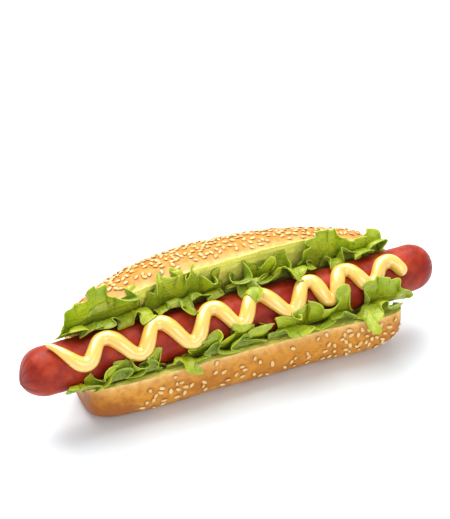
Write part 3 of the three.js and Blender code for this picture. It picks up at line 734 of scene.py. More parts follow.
@dataclass
class SesameSeeds:
    """Sesame seeds lying on the crust, none closer together than the spacing."""

    bun: Bun
    spacing: float = 2.35
    half_size: Triple = (1.55, 1.0, 0.52)
    point: float = 0.28
    girth: float = 0.98
    low_from: float = 0.45
    tilt: float = 0.16
    above: float = 0.22
    lowest: float = 2.5
    rim_room: float = 3.0
    end_room: float = 0.015
    thinning: float = 0.7
    tries: int = 8
    search_rows: int = 240
    search_columns: int = 300
    draws: tuple[int, int] = (11, 21)
    size_spread: float = 0.1
    toast: Pair = (0.25, 0.25)
    frame_step: float = 0.004
    around: int = 8
    along: int = 6
    patches: tuple[SeedPatch, ...] = tuple(SeedPatch(*patch) for patch in (
        (True, -6, 30, 84, 21, 590), (True, 10, 9, 75, 3, 22), (True, 0, 56, 80, 10, 60),
        (False, -45, 13, 15, 7, 22), (False, -12, 12, 12, 7, 10), (False, 22, 14, 16, 7, 9),
        (False, 60, 12, 22, 7, 44), (False, 20, 19, 40, 4, 6),
    ))
    k: Array = field(init=False)
    s: Array = field(init=False)

    def __post_init__(self) -> None:
        """Chooses the seeds' places, patch by patch."""
        k = np.linspace(self.end_room - 1, 1 - self.end_room, self.search_rows)
        s = np.linspace(0, 1, self.search_columns)[:, None] + np.zeros_like(k)
        grid = self.bun.skin(k, s, Side.CRUST, fine=False)
        step, width = (np.linalg.norm(np.gradient(grid, axis=axis), axis=-1) for axis in (0, 1))
        from_lower = np.cumsum(step, axis=0)
        draw = np.random.default_rng(self.draws[0])
        taken = np.empty((0, 3))
        kept: list[Array] = []
        for patch in self.patches:
            down = from_lower[-1] - from_lower if patch.from_upper_rim else from_lower
            across, away = (grid[..., 0] - patch.x) / patch.half_x, (down - patch.down) / patch.half_down
            free = (grid[..., 2] > self.lowest) * (down > self.rim_room)
            weight = step * width * np.exp(-self.thinning * (across**4 + away**4)) * free
            cells = draw.choice(weight.size, patch.count * self.tries, p=(weight / weight.sum()).ravel())
            j, i = np.unravel_index(cells, weight.shape)
            at_k = k[i] + draw.uniform(-0.5, 0.5, len(i)) * (k[1] - k[0])
            at_s = s[j, 0] + draw.uniform(-0.5, 0.5, len(i)) / self.search_columns
            full = len(kept) + patch.count
            for place, spot in zip(self.bun.skin(at_k, at_s, Side.CRUST), np.stack([at_k, at_s], -1)):
                if len(kept) == full:
                    break
                if not len(taken) or np.linalg.norm(taken - place, axis=1).min() >= self.spacing:
                    taken = np.vstack([taken, place])
                    kept.append(spot)
        self.k, self.s = np.array(kept).T

    def places(self) -> Array:
        """Where the seeds lie on the crust, (n, 3)."""
        return self.bun.skin(self.k, self.s, Side.CRUST)

    def template(self) -> tuple[Array, Array, Array, Array]:
        """One seed: a flattened drop, narrower at its tip.

        Returns:
            Points (n, 3) with the length along X, quads, each point's place along the seed from its round
            end, -1, to its tip, 1, and how low it is, 0 to 1.
        """
        angle = np.linspace(0, math.pi, self.along + 1)[:, None]
        length, turn = -np.cos(angle), circle(self.around)
        width = np.sin(angle) * (1 - self.point * length) * self.girth
        x, y, z = length + 0 * turn, width * np.cos(turn), width * np.sin(turn)
        points = np.stack([x, y, z], -1).reshape(-1, 3) * self.half_size
        # how low each point is, for the painted shade on the seed's underside
        low = ramp(z.ravel(), self.low_from, -self.low_from)
        return points, grid_quads(self.along + 1, self.around), x.ravel(), low

    def build(self, material: Material) -> Object:
        """Makes all the seeds as one mesh: the template turned into each spot's own frame."""
        k, s, draw, count = self.k, self.s, np.random.default_rng(self.draws[1]), len(self.k)
        lengthways, rimwards = (
            self.bun.skin(k + a, s + b, Side.CRUST, False) - self.bun.skin(k - a, s - b, Side.CRUST, False)
            for a, b in self.frame_step * np.eye(2)
        )
        lengthways = unit(lengthways)
        out = unit(np.cross(rimwards, lengthways))
        side = np.cross(out, lengthways)
        turn = draw.uniform(0, 2 * math.pi, count)[:, None]
        tilt = draw.normal(0, self.tilt, count)[:, None]
        ahead = unit(lengthways * np.cos(turn) + side * np.sin(turn) + out * tilt)
        across = unit(np.cross(out, ahead))
        template, quads, tips, low = self.template()
        size = draw.normal(1.0, self.size_spread, (count, 1, 1))
        axes = np.stack([ahead, across, np.cross(ahead, across)], axis=1)
        at = (self.places() + out * self.above)[:, None, :]
        toast = np.clip(draw.normal(*self.toast, count), 0, 1)
        log.info("%d seeds", count)
        return make_piece(
            "sesame_seeds", "bun", material, np.einsum("mi,nij->nmj", template, axes) * size + at,
            (quads + (np.arange(count) * len(template))[:, None, None]).reshape(-1, 4),
            {"toast": np.repeat(toast, len(low)), "tip": np.tile(tips, count), "low": np.tile(low, count)},
        )


# ---- sausage
@dataclass(frozen=True)
class SkinFinish:
    """Smoked sausage skin: red-brown with paler and darker patches, taut and glossy, with painted shade in
    the puckers of its tied ends.
    """

    red: Colour = (0.265, 0.0145, 0.006)
    bright: Colour = (0.41, 0.042, 0.012)
    # the dark colour serves for darker patches and for painted shade in the puckers
    dark_patch_and_fold_shade: Colour = (0.13, 0.010, 0.007)

    def build(self, groups: NodeGroups) -> Material:
        """Makes the material."""
        g = Finish("sausage_skin")
        colour = g.blend(g.group(groups.mottle, 70.0), self.red, self.bright)
        colour = g.tint(colour, self.dark_patch_and_fold_shade, g.group(groups.mottle, 190.0, 5.0), 0.4, 1.0, 0.0, 0.35)
        normal = g.bump(g.group(groups.grain, 420.0), 0.0001)
        normal = g.bump(g.noise(g.place(), 140.0, 2.0), 0.0006, 0.35, normal)
        # painted shade: the fold share darkens the puckers' valleys and the middle of each tied end
        return g.done(
            Base_Color=g.blend(g.share("fold"), colour, self.dark_patch_and_fold_shade), Roughness=0.42, Specular_IOR_Level=0.2,
            Normal=normal, Subsurface_Weight=0.1, Subsurface_Radius=(1.0, 0.25, 0.15), Subsurface_Scale=0.002,
        )


@dataclass
class Sausage:
    """A long sausage with round, tied ends, which turns up a little at its right end."""

    radius: float = 12.5
    ends: tuple[Triple, ...] = ((-106, 0.5, 35.5), (98, 2.7, 34.3))
    curl: float = 4.8
    curl_from: float = 0.75
    roundness: float = 0.9
    folds: int = 11
    fold_depth: float = 0.95
    crinkles: int = 23
    crinkle_share: float = 0.35
    knot: float = 0.65
    knot_width: float = 3.0
    tip_drop: float = 3.4
    wrinkle: float = 0.05
    wrinkle_fade: float = 8.0
    wrinkle_size: float = 9.0
    wrinkle_draw: int = 31
    # width of the painted shade at the middle of each tied end
    knot_shade_width: float = 2.0
    rows_cap: int = 56
    rows_barrel: int = 200
    around: int = 150

    @classmethod
    def axis_at(cls, x: Array) -> Array:
        """Points of the sausage's axis at x, shape (..., 3)."""
        left, right = cls.ends
        t = (x - left[0]) / (right[0] - left[0])
        _, y, z = (mix(a, b, t) for a, b in zip(left, right))
        return np.stack([x, y, z + cls.curl * np.maximum(0, t - cls.curl_from)], -1)

    @classmethod
    def cleared(cls, points: Array, distance: float) -> Array:
        """Points moved away from the axis to a distance, past the ends too."""
        centre = cls.axis_at(np.clip(points[:, 0], cls.ends[0][0], cls.ends[1][0]))
        away = points - centre
        reach = np.linalg.norm(away, axis=-1, keepdims=True)
        return np.where(reach < distance, centre + away / np.maximum(reach, 1e-6) * distance, points)

    def build(self, material: Material) -> Object:
        """Makes the sausage: a profile turned about the axis, with puckers towards each tied end."""
        left, right = self.ends[0][0], self.ends[1][0]
        half, middle = (right - left) / 2, (right + left) / 2
        cap = np.linspace(0, math.pi / 2, self.rows_cap + 1)
        barrel = np.linspace(-half, half, self.rows_barrel + 1)[1:-1]
        tip, end = half + self.radius * np.cos(cap), self.radius * np.sin(cap) ** self.roundness
        x = np.concatenate([-tip, barrel, tip[::-1]])[:, None]
        reach = np.concatenate([end, np.full(len(barrel), self.radius), end[::-1]])[:, None]
        turn = circle(self.around)
        past, close = np.clip((np.abs(x) - half) / self.radius, 0, 1), reach / self.radius
        swing = turn * self.folds + 0.5 * np.sin(2 * turn + np.sign(x))
        valley = (0.5 + 0.5 * np.cos(swing)) ** 3
        crinkle = 0.5 + 0.5 * np.cos(turn * self.crinkles + 2 * np.sin(3 * turn))
        depth = self.fold_depth * past * np.minimum(1, close * 3) * (1.2 - close)
        tuck = depth * (valley + crinkle * (1 - close) * self.crinkle_share) / np.maximum(reach, 1)
        relief = unevenness(x, turn * self.radius, self.wrinkle_size, self.wrinkle_draw)
        wrinkle = self.wrinkle * relief * ramp(np.abs(x), half + self.wrinkle_fade, half)
        spread = reach * (1 - tuck) + wrinkle * close
        nub = np.sign(x) * self.knot * past * bell(reach, 0, self.knot_width)
        drop = self.tip_drop * (x < 0) * past**2 * (1 - close)
        points = self.axis_at(x + middle + 0 * turn)
        points = points + np.stack([nub + 0 * turn, spread * np.sin(turn), spread * np.cos(turn) - drop], -1)
        # painted shade: dark in the valleys of the puckers and at the core of each tied end
        fold = np.clip(past * 1.2, 0, 1) * valley * 0.5 + bell(reach, 0, self.knot_shade_width) * past * 0.5
        quads = grid_quads(len(x), self.around)
        return make_piece("sausage_skin", "sausage", material, points, quads, {"fold": fold})


# ---- mustard
@dataclass(frozen=True)
class MustardFinish:
    """Smooth mild mustard: pale, dense and glossy, with painted shade deepening its colour on the side that
    lies against the sausage, and faint deeper patches.
    """

    cream: Colour = (0.91, 0.570, 0.105)
    # the deep colour is painted shade on the side against the sausage, and the tone of faint deeper patches
    deep: Colour = (0.84, 0.38, 0.022)

    def build(self, groups: NodeGroups) -> Material:
        """Makes the material."""
        g = Finish("mustard_sauce")
        # painted shade: the colour deepens on the side of the rope that lies against the sausage
        colour = g.blend(g.share("low"), self.cream, self.deep)
        normal = g.bump(g.noise(g.surface(0.05, 0.9), 1.0, 2.0), 0.0004, 0.35)
        return g.done(
            Base_Color=g.tint(colour, self.deep, g.group(groups.mottle, 200.0), 0.0, 1.0, 0.0, 0.2),
            Roughness=0.28, Normal=g.bump(g.noise(g.place(), 380.0, 2.0), 0.0003, 0.25, normal),
            Subsurface_Weight=0.4, Subsurface_Radius=(1.0, 0.7, 0.25), Subsurface_Scale=0.002,
            Coat_Weight=1.0, Coat_Roughness=0.17, Coat_IOR=1.85,
        )


@dataclass
class Mustard:
    """A rope of mustard laid in a zigzag along the top and front of the sausage.

    A turn of the zigzag is its place along X and its degrees round the sausage, from the front up.
    """

    radius: float = 3.8
    centre: float = 14.8
    tail: float = 20.0
    tip: float = 1.6
    tail_share: float = 0.35
    uneven: float = 0.05
    uneven_rate: float = 0.31
    shoulders: Pair = (2.6, 2.1)
    upper_turn: float = 55.0
    gap: float = 0.12
    # heights over which the painted shade deepens the rope towards the sausage
    contact_shade_heights: Pair = (0.8, -2.4)
    bead_step: int = 6
    turn_steps: int = 60
    rows: int = 900
    around: int = 44
    turns: tuple[Pair, ...] = (
        (-104, 96), (-88.5, 35), (-76, 70), (-60.5, 26), (-47.5, 71), (-32.5, 21), (-18.5, 71), (-6, 30),
        (6.6, 73), (22.5, 26), (35.2, 71), (45, 28), (56.5, 74), (68.5, 35), (80.2, 65), (88.5, 32),
    )
    line: Array = field(init=False)
    run: Array = field(init=False)

    def __post_init__(self) -> None:
        """Works out the centre line on the unrolled skin: x, and distance round the sausage."""
        turns = np.array(self.turns, float)
        inner = turns[1:-1]
        wide = np.where(inner[:, 1] > self.upper_turn, *self.shoulders)[:, None] * [1, 0]
        both = np.stack([inner - wide, inner + wide], axis=1).reshape(-1, 2)
        corners = np.concatenate([turns[:1], both, turns[-1:]]) * [1, self.centre * math.pi / 180]
        dense = self._centripetal(corners)
        run = np.concatenate([[0], np.cumsum(np.linalg.norm(np.diff(dense, axis=0), axis=1))])
        self.run = np.linspace(0, run[-1], self.rows)
        self.line = np.stack([np.interp(self.run, run, values) for values in dense.T], -1)

    def _centripetal(self, corners: Array) -> Array:
        """Centripetal Catmull-Rom curve through corners, each stretch in even steps."""
        p = np.concatenate([[2 * corners[0] - corners[1]], corners, [2 * corners[-1] - corners[-2]]])
        gap = np.linalg.norm(np.diff(p, axis=0), axis=1)[:, None] ** 0.5
        p0, p1, p2, p3 = p[:-3], p[1:-2], p[2:-1], p[3:]
        d0, d1, d2 = gap[:-2], gap[1:-1], gap[2:]
        leave = ((p1 - p0) / d0 - (p2 - p0) / (d0 + d1) + (p2 - p1) / d1) * d1
        enter = ((p2 - p1) / d1 - (p3 - p1) / (d1 + d2) + (p3 - p2) / d2) * d1
        t = np.linspace(0, 1, self.turn_steps, endpoint=False)[None, :, None]
        p1, p2, leave, enter = (q[:, None, :] for q in (p1, p2, leave, enter))
        square, cube = 3 * (p2 - p1) - 2 * leave - enter, 2 * (p1 - p2) + leave + enter
        return np.concatenate([(p1 + leave * t + square * t**2 + cube * t**3).reshape(-1, 2), corners[-1:]])

    def radii(self) -> Array:
        """The rope's radius along it: thin at its start, round at its end, a little uneven."""
        rest = self.run[-1] - self.run
        tail = mix(self.tail_share, 1, smooth(self.run / self.tail))
        start = np.sqrt(np.clip(self.run / self.tip, 0, 1))
        end = np.sqrt(np.maximum(0, 1 - (1 - np.minimum(1, rest / self.radius)) ** 2))
        return self.radius * tail * start * end * (1 + self.uneven * np.sin(self.run * self.uneven_rate))

    def cleared(self, points: Array, distance: float) -> Array:
        """Points lifted off the rope, straight away from the sausage's axis."""
        beads, radii = self.line[:: self.bead_step], self.radii()[:: self.bead_step]
        axis = Sausage.axis_at(points[:, 0])[:, 1:]
        away = points[:, 1:] - axis
        reach = np.linalg.norm(away, axis=1)
        lengthways = points[:, 0, None] - beads[:, 0]
        sideways = (np.arctan2(away[:, 1], -away[:, 0]) * self.centre)[:, None] - beads[:, 1]
        free = (radii + distance) ** 2 - lengthways**2 - sideways**2
        needed = np.where(free > 0, self.centre + np.sqrt(np.maximum(free, 0)), 0).max(axis=1)
        moved, low = points.copy(), reach < needed
        moved[low, 1:] = axis[low] + away[low] * (needed[low] / reach[low])[:, None]
        return moved

    def build(self, material: Material) -> Object:
        """Makes the rope: circles along the line, flattened where they would enter the sausage."""
        angle, axis = self.line[:, 1] / self.centre, Sausage.axis_at(self.line[:, 0])
        outward = np.stack([0 * angle, -np.cos(angle), np.sin(angle)], -1)
        centre = axis + outward * self.centre
        sideways = unit(np.cross(unit(np.gradient(centre, axis=0)), outward))
        turn = circle(self.around)[:, None]
        ring = outward[:, None] * np.cos(turn) + sideways[:, None] * np.sin(turn)
        points = centre[:, None] + self.radii()[:, None, None] * ring
        height = np.linalg.norm((points - axis[:, None])[..., 1:], axis=-1)
        # the low share is painted shade, deepest on the side of the rope against the sausage
        high, low = (self.centre + rise for rise in self.contact_shade_heights)
        return make_piece(
            "mustard_rope", "mustard", material,
            Sausage.cleared(points.reshape(-1, 3), Sausage.radius + self.gap),
            grid_quads(self.rows, self.around), {"low": ramp(height, high, low)},
            np.stack(np.meshgrid(self.run, turn * self.radius, indexing="ij"), -1),
        )


# ---- lettuce
@dataclass(frozen=True)
class LeafFinish:
    """Fresh frilled lettuce: pale at the root, brighter towards the frill, with fine veins, painted shade on
    one face of each leaf and a painted glow along the frill's edge.
    """

    root: Colour = (0.46, 0.51, 0.07)
    blade: Colour = (0.405, 0.455, 0.010)
    deep: Colour = (0.19, 0.29, 0.010)
    # painted shade for one face of every leaf
    under: Colour = (0.16, 0.25, 0.025)
    # the vein colour also paints a glow of light along the thin frill edge
    vein_and_edge_glow: Colour = (0.55, 0.58, 0.08)

    def build(self, groups: NodeGroups) -> Material:
        """Makes the material."""
        g = Finish("lettuce_leaf")
        ribs = g.cells(g.surface(1.0, 0.22), 0.34, "DISTANCE_TO_EDGE")
        net = g.cells(g.surface(), 0.75, "DISTANCE_TO_EDGE")
        colour = g.tint(self.root, self.blade, g.share("out"), 0.0, 0.45)
        colour = g.tint(colour, self.deep, g.group(groups.mottle, 70.0), 0.1, 0.9, 0.0, 0.6)
        colour = g.blend(g.share("tint"), colour, self.deep)
        # painted shade on one face of every leaf
        colour = g.blend(g.calc("MULTIPLY", g.share("under"), 0.75), colour, self.under)
        # the last entry paints a bright line along the frill's edge, a painted glow of light through the thin
        # margin; the others are veins
        for value, width, most in ((ribs, 0.09, 0.2), (net, 0.08, 0.12), (g.share("to_edge"), 0.9, 0.2)):
            colour = g.tint(colour, self.vein_and_edge_glow, value, 0.0, width, most, 0.0)
        normal = g.bump(g.spread(net, 0.0, 0.4), 0.0004, 0.3)
        return g.done(
            Base_Color=colour, Roughness=0.42,
            Normal=g.bump(g.spread(ribs, 0.0, 0.2, 1.0, 0.0), 0.0004, 0.15, normal),
            Subsurface_Weight=0.6, Subsurface_Radius=(0.85, 1.0, 0.1), Subsurface_Scale=0.0016,
        )


@dataclass(frozen=True)
class Frill:
    """A row of frilled leaves that share a root line.

    The roots are Y and Z at the left and right end, then the degrees at which the leaf leaves its root,
    how late it bends, and the degrees by which it first stands up before it does. Rows with the same
    fold lie in each other's folds, and the teeth of a row are as deep as it is toothed. Round its broad
    places a row is less ruffled. A lobe of a leaf is its place along X, the degrees that it leans (0 up,
    90 forward) and its reach from the root.
    """

    name: str
    roots: tuple[Pair, Pair]
    start: float
    bend: float
    hump: float
    fold: int
    face_up: bool
    toothed: float
    broad: Floats
    leaves: dict[str, tuple[Triple, ...]]


UPPER_BACK = Frill(
    "upper_back", roots=((11.2, 44), (15, 40.5)),
    start=6, bend=0.8, hump=0, fold=500, face_up=False, toothed=1.0, broad=(-80, 51), leaves={
        "left": ((-96, 66, 10), (-92, 44, 15), (-87, 30, 20), (-82, 14, 25), (-76, 0, 28), (-71, 4, 26),
            (-67, 20, 23), (-62, 2, 28), (-56, 20, 23), (-51, 10, 23)),
        "middle": ((-50, 8, 23), (-46, 20, 22), (-41, -4, 29), (-36, 16, 22), (-31, -2, 28), (-25, 8, 25),
            (-17, 20, 20), (-9, 6, 22), (-5, 18, 19)),
        "right": ((-4, 20, 17), (2, 14, 19), (8, 6, 20), (13, 26, 16), (18, 2, 22), (23, 24, 17), (29, 6, 20),
            (35, 20, 16)),
        "end": ((36, 20, 18), (40, 2, 23), (45, 4, 22), (51, -6, 25.5), (58, -6, 25), (63, 10, 20),
            (68, 24, 17), (72, 20, 17), (77, -2, 18), (82, 10, 15), (87, 32, 11)),
    },
)
UPPER_FRONT = Frill(
    "upper_front", roots=((8.6, 46.4), (12, 44.2)),
    start=15, bend=0.8, hump=32, fold=500, face_up=True, toothed=0.8, broad=(), leaves={
        "left": ((-91, 80, 10), (-86, 120, 17), (-79, 78, 13), (-73, 112, 17), (-68, 80, 13), (-63, 110, 16),
            (-58, 84, 13), (-52, 122, 21), (-47, 112, 17)),
        "middle": ((-46, 104, 15), (-41, 74, 13), (-36, 86, 14), (-30, 134, 25), (-24, 80, 14),
            (-19, 106, 15), (-13, 72, 13), (-7, 112, 16)),
        "right": ((-5, 96, 14), (0, 78, 12), (5, 131, 23), (10, 80, 13), (17, 70, 12), (23, 86, 14),
            (28, 130, 24), (33, 100, 16), (39, 74, 13), (46, 84, 13)),
        "end": ((49, 76, 13), (57, 96, 14), (64, 70, 13), (72, 100, 15), (79, 72, 13), (85, 100, 13)),
    },
)
LOWER_BACK = Frill(
    "lower_back", roots=((-6.6, 25), (-6.6, 24.6)),
    start=52, bend=0.7, hump=0, fold=600, face_up=False, toothed=0.3, broad=(51, 78), leaves={
        "left": ((-90, 32, 10), (-84, 0, 15), (-77, 24, 18), (-69, -6, 17), (-61, 20, 19), (-54, -4, 17),
            (-46, 24, 14)),
        "middle": ((-40, 28, 13), (-31, 2, 18), (-23, 18, 21), (-14, -6, 19), (-5, 18, 20), (3, -6, 20),
            (11, 22, 18)),
        "right": ((13, 20, 20), (19, -4, 24), (27, 20, 21), (34, -8, 24), (42, 20, 20), (51, -12, 27),
            (58, 22, 20)),
        "end": ((61, 18, 19), (67, -4, 25), (73, -12, 28.5), (78, 0, 25), (83, 28, 21), (88, 56, 16)),
    },
)
LOWER_FRONT = Frill(
    "lower_front", roots=((-12, 27.6), (-14, 28.3)),
    start=72, bend=1.3, hump=72, fold=600, face_up=True, toothed=0.5, broad=(22, 61), leaves={
        "left": ((-99, 78, 7), (-94, 92, 10), (-87, 50, 10), (-80, 88, 6), (-72, 34, 11), (-64, 88, 6),
            (-57, 36, 11), (-49, 84, 6)),
        "middle": ((-47, 60, 7), (-42, 82, 8), (-37, 140, 19), (-30, 70, 9), (-23, 44, 11), (-15, 84, 6),
            (-8, 38, 11), (0, 84, 6), (7, 50, 9)),
        "right": ((9, 60, 8), (15, 70, 10), (20, 104, 15), (26, 110, 15), (32, 60, 11), (40, 84, 9),
            (46, 92, 12), (52, 50, 11), (57, 82, 8)),
        "end": ((57, 90, 10), (61, 128, 26), (66, 112, 20), (71, 56, 15), (76, 34, 16), (81, 50, 10)),
    },
)


@dataclass(frozen=True)
class Ruffle:
    """One size of ruffle: its length along the row, its swing and how close to the frill it stays."""

    length: float
    swing: float
    power: float
    sway: float


@dataclass
class Lettuce:
    """Four rows of frilled leaves, settled against bread, sausage and mustard."""

    bun: Bun
    mustard: Mustard
    rows: tuple[Frill, ...] = (UPPER_BACK, UPPER_FRONT, LOWER_BACK, LOWER_FRONT)
    thickness: float = 0.45
    gap: float = 0.25
    lip_room: float = 0.7
    spread: float = 0.3
    column_step: float = 0.36
    row_step: float = 0.5
    tooth_length: float = 3.6
    tooth_share: float = 0.055
    scallop_length: float = 9.5
    scallop_share: float = 0.26
    fan: float = 2.5
    fan_right: Pair = (86.0, 9.0)
    fan_left: Pair = (-88.0, 8.0)
    hump_at: float = 2.4
    hump_width: float = 2.4
    hump_swing: float = 0.6
    hump_length: float = 17.0
    hump_range: Pair = (0.2, 1.6)
    swell_swing: float = 0.4
    swell_range: Pair = (0.3, 1.6)
    phase_swing: float = 1.1
    end_reach: float = 0.55
    end_length: float = 6.0
    calm: float = 0.86
    calm_length: float = 11.0
    curl: float = 66.0
    curl_length: float = 8.0
    curl_from: float = 0.65
    fold_limit: float = 90.0
    blister: float = 0.16
    blister_size: float = 3.4
    tint: float = 0.18
    settling: int = 3
    ruffles: tuple[Ruffle, ...] = (
        Ruffle(17.0, 24.0, 0.7, 2.0), Ruffle(9.2, 22.0, 1.7, 1.0), Ruffle(5.2, 9.0, 4.0, 0.25),
    )

    def sheet(self, row: Frill, lobes: tuple[Triple, ...], seed: int) -> tuple[Array, Array, Array]:
        """A leaf's sheet before it settles.

        Each column leaves the root line at the row's starting angle, stands up over its hump and bends to
        its lobe's lean. The angle swings with every ruffle, more so towards the frill, and the frill
        curls at its end. The point is the running sum of short steps at that angle, their length cut back
        by scallops and teeth. A sideways sway at twice the ruffle's rate makes the folds overhang, and
        the leaves at both ends of the bun fan out.

        Args:
            row: the row of leaves.
            lobes: the leaf's lobes.
            seed: picks the leaf's own random draw.

        Returns:
            Points (rows, columns, 3), the column's distance along X (columns,) and the rows' shares.
        """
        table = np.array(lobes, float)
        columns = int((table[-1, 0] - table[0, 0]) / self.column_step)
        rows = int(table[:, 2].max() / self.row_step)
        pitch = np.linspace(0, len(table) - 1, columns + 1)
        i = np.minimum(pitch.astype(int), len(table) - 2)
        f, near, far = pitch - i, table[i].T, table[i + 1].T
        x = mix(near[0], far[0], f)
        lean, reach = mix(near[1:], far[1:], smooth(f))
        to_end = np.minimum(x - x[0], x[-1] - x)
        reach = reach * mix(self.end_reach, 1, np.sqrt(smooth(to_end / self.end_length)))
        v = np.linspace(0, 1, rows + 1)[:, None]
        middle = (v[1:] + v[:-1]) / 2
        hump = 1 + self.hump_swing * unevenness(x, 0, self.hump_length, row.fold + 3)
        hump = row.hump * np.clip(hump, *self.hump_range)
        angle = mix(row.start, lean, middle**row.bend)
        angle = angle - hump * bell(middle * reach, self.hump_at, self.hump_width)
        calm = 1 - self.calm * sum(bell(x, place, self.calm_length) for place in row.broad)
        fold = self.curl * calm * ramp(middle, self.curl_from, 1)
        fold = fold * unevenness(x, 0, self.curl_length, seed + 5)
        across = x + self.spread * (far[0] - near[0]) * np.sin(2 * math.pi * f) * v**2
        across = across + self.fan * (bell(x, *self.fan_right) - bell(x, *self.fan_left)) * v**1.5
        for number, ruffle in enumerate(self.ruffles, row.fold + 10):
            swell = 1 + self.swell_swing * unevenness(x, 0, ruffle.length * 3, number + 10)
            swell = np.clip(swell, *self.swell_range) * calm
            phase = self.phase_swing * unevenness(x, 0, ruffle.length * 4, number)
            phase = 2 * math.pi * x / ruffle.length + phase
            fold = fold + ruffle.swing * swell * middle**ruffle.power * np.sin(phase)
            across = across - ruffle.sway * swell * v**ruffle.power * np.sin(2 * phase)
        tip = np.radians(angle + self.fold_limit * np.tanh(fold / self.fold_limit))
        saw = np.abs(np.sin(math.pi * x / self.tooth_length + unevenness(x, 0, 11, seed)))
        teeth = mix(saw - 0.6, 0.7 - 1.6 * saw, smooth(0.5 + unevenness(x, 0, 24, seed + 1)))
        scallop = np.abs(np.sin(math.pi * x / self.scallop_length + unevenness(x, 0, 30, row.fold + 30)))
        notch = 1 - self.scallop_share * calm * (1 - scallop**0.7)
        step = reach * notch * (1 + self.tooth_share * row.toothed * teeth * middle**6) / rows
        forward, upward = (
            np.pad(np.cumsum(wave(tip) * step, axis=0), ((1, 0), (0, 0))) for wave in (np.sin, np.cos)
        )
        t = (x + self.bun.half_length) / (2 * self.bun.half_length)
        y, z = (mix(a, b, t) for a, b in zip(*row.roots))
        return np.stack([across, y - forward, z + upward], -1), x, v[:, 0]

    def settled(self, points: Array) -> Array:
        """Points pushed clear of mustard, sausage and bread, a few times over."""
        clearance = self.thickness / 2 + self.gap
        flat = points.reshape(-1, 3)
        for _ in range(self.settling):
            flat = self.mustard.cleared(flat, clearance)
            flat = Sausage.cleared(flat, Sausage.radius + clearance)
            flat = self.bun.cleared(flat, clearance + self.lip_room)
        return flat.reshape(points.shape)

    def leaf(self, row: Frill, name: str, seed: int, material: Material) -> Object:
        """Makes one leaf: its settled sheet with a face on either side and a closed edge."""
        points, x, v = self.sheet(row, row.leaves[name], seed)
        points = self.settled(points)
        rows, columns = points.shape[:2]
        down, right = (np.gradient(points, axis=axis) for axis in (0, 1))
        normal = unit(np.cross(right, down))
        arc = np.cumsum(np.linalg.norm(down, axis=-1), axis=0)
        across, out = x + 0 * v[:, None], v[:, None] + 0 * x
        height = self.blister * unevenness(across, arc, self.blister_size, seed + 40)
        points = points + normal * (height * np.sin(math.pi * np.minimum(out, 0.9)))[..., None]
        half = normal * (np.pad(np.ones((rows - 2, columns - 2)), 1) * self.thickness / 2)[..., None]
        front = grid_quads(rows, columns, ring=False)
        tint = np.random.default_rng(seed + 60).uniform(0.0, self.tint)
        # to_edge feeds the painted glow along the frill's edge
        shares = {"out": out, "tint": tint + 0 * out, "to_edge": arc[-1:] - arc}
        shares = {share: np.stack([values] * 2) for share, values in shares.items()}
        # which face of each leaf takes the painted shade
        shares["under"] = np.repeat([row.face_up, not row.face_up], rows * columns)
        title = f"lettuce_{row.name}_{name}"
        return make_piece(
            title + "_leaf", title, material, np.stack([points + half, points - half]),
            np.concatenate([front, front[:, ::-1] + rows * columns]), shares,
            np.stack([np.stack([across, arc], -1)] * 2),
        )

    def build(self, material: Material) -> list[Object]:
        """Makes every leaf of every row."""
        return [
            self.leaf(row, name, 100 * number + 7 * place, material)
            for number, row in enumerate(self.rows, 1) for place, name in enumerate(row.leaves)
        ]


# ---- studio
@dataclass(frozen=True)
class Camera:
    """The camera, by the point it looks at and the way round it, in metres and degrees."""

    azimuth: float = -23.6
    elevation: float = 37.0
    distance: float = 0.9
    aim: Triple = (0.0100, 0.0296, 0.0462)
    lens: float = 119.2
    clip_start: float = 0.05

    def build(self) -> None:
        """Makes the scene's camera."""
        a, e = math.radians(self.azimuth), math.radians(self.elevation)
        back = np.array([math.sin(a) * math.cos(e), -math.cos(a) * math.cos(e), math.sin(e)])
        data = bpy.data.cameras.new("camera")
        data.lens, data.clip_start = self.lens, self.clip_start
        camera = add_object("camera", data)
        camera.location = np.array(self.aim) + back * self.distance
        camera.rotation_euler = (math.pi / 2 - e, 0.0, a)
        bpy.context.scene.camera = camera


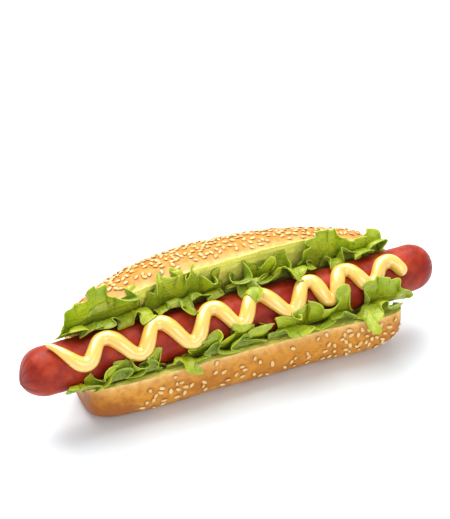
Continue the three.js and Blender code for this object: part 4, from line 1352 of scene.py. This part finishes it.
@dataclass(frozen=True)
class Softbox:
    """A large soft lamp: where it hangs, its size in metres, its power and what it points at."""

    name: str
    place: Triple
    size: Pair
    power: float
    aim: Triple = (0.0, 0.0, 0.03)

    def build(self) -> None:
        """Makes the lamp, turned towards the middle of the food."""
        data = bpy.data.lights.new(self.name, "AREA")
        data.shape, data.energy = "RECTANGLE", self.power
        data.size, data.size_y = self.size
        lamp = add_object(self.name, data)
        lamp.location = self.place
        x, y, z = np.array(self.aim) - np.array(self.place)
        lamp.rotation_euler = (math.atan2(math.hypot(x, y), -z), 0.0, math.atan2(y, x) - math.pi / 2)


@dataclass(frozen=True)
class Studio:
    """A pale floor, soft lamps and a bright surround."""

    floor_half: float = 6.0
    floor_colour: Colour = (0.83, 0.88, 0.92)
    floor_roughness: float = 0.9
    surround: float = 0.68
    lamps: tuple[Softbox, ...] = (
        Softbox("lamp_back", (-0.06, 0.35, 1.3), (1.3, 1.0), 15.5),
        Softbox("lamp_rear", (0.0, 0.8, 1.15), (1.6, 0.4), 14.5),
        Softbox("lamp_front", (0.1, -1.3, 0.8), (1.0, 1.0), 6.5),
    )

    def build(self) -> None:
        """Makes the floor, the surround and the lamps."""
        mesh = bpy.data.meshes.new("floor")
        corners = self.floor_half * np.array([(-1, -1, 0), (1, -1, 0), (1, 1, 0), (-1, 1, 0)])
        mesh.from_pydata(corners.tolist(), [], [range(4)])
        finish = Finish("floor").done(Base_Color=self.floor_colour, Roughness=self.floor_roughness)
        mesh.materials.append(finish)
        add_object("floor", mesh)
        world = bpy.context.scene.world = bpy.data.worlds.new("surround")
        world.use_nodes = True
        colour, strength = world.node_tree.nodes["Background"].inputs[:2]
        colour.default_value, strength.default_value = (1.0, 1.0, 1.0, 1.0), self.surround
        for lamp in self.lamps:
            lamp.build()
        bpy.context.scene.view_settings.view_transform = "Standard"


def main() -> None:
    """Builds the studio, then the bread, seeds, sausage, mustard and leaves in order."""
    logging.basicConfig(level=logging.INFO, format="%(name)s: %(message)s")
    Camera().build()
    Studio().build()
    groups = NodeGroups()
    bun = Bun()
    mustard = Mustard()
    seeds = SesameSeeds(bun)
    bun.build(BreadFinish().build(groups), seeds.places())
    seeds.build(SeedFinish().build(groups))
    Sausage().build(SkinFinish().build(groups))
    mustard.build(MustardFinish().build(groups))
    Lettuce(bun, mustard).build(LeafFinish().build(groups))


if __name__ == "__main__":
    main()
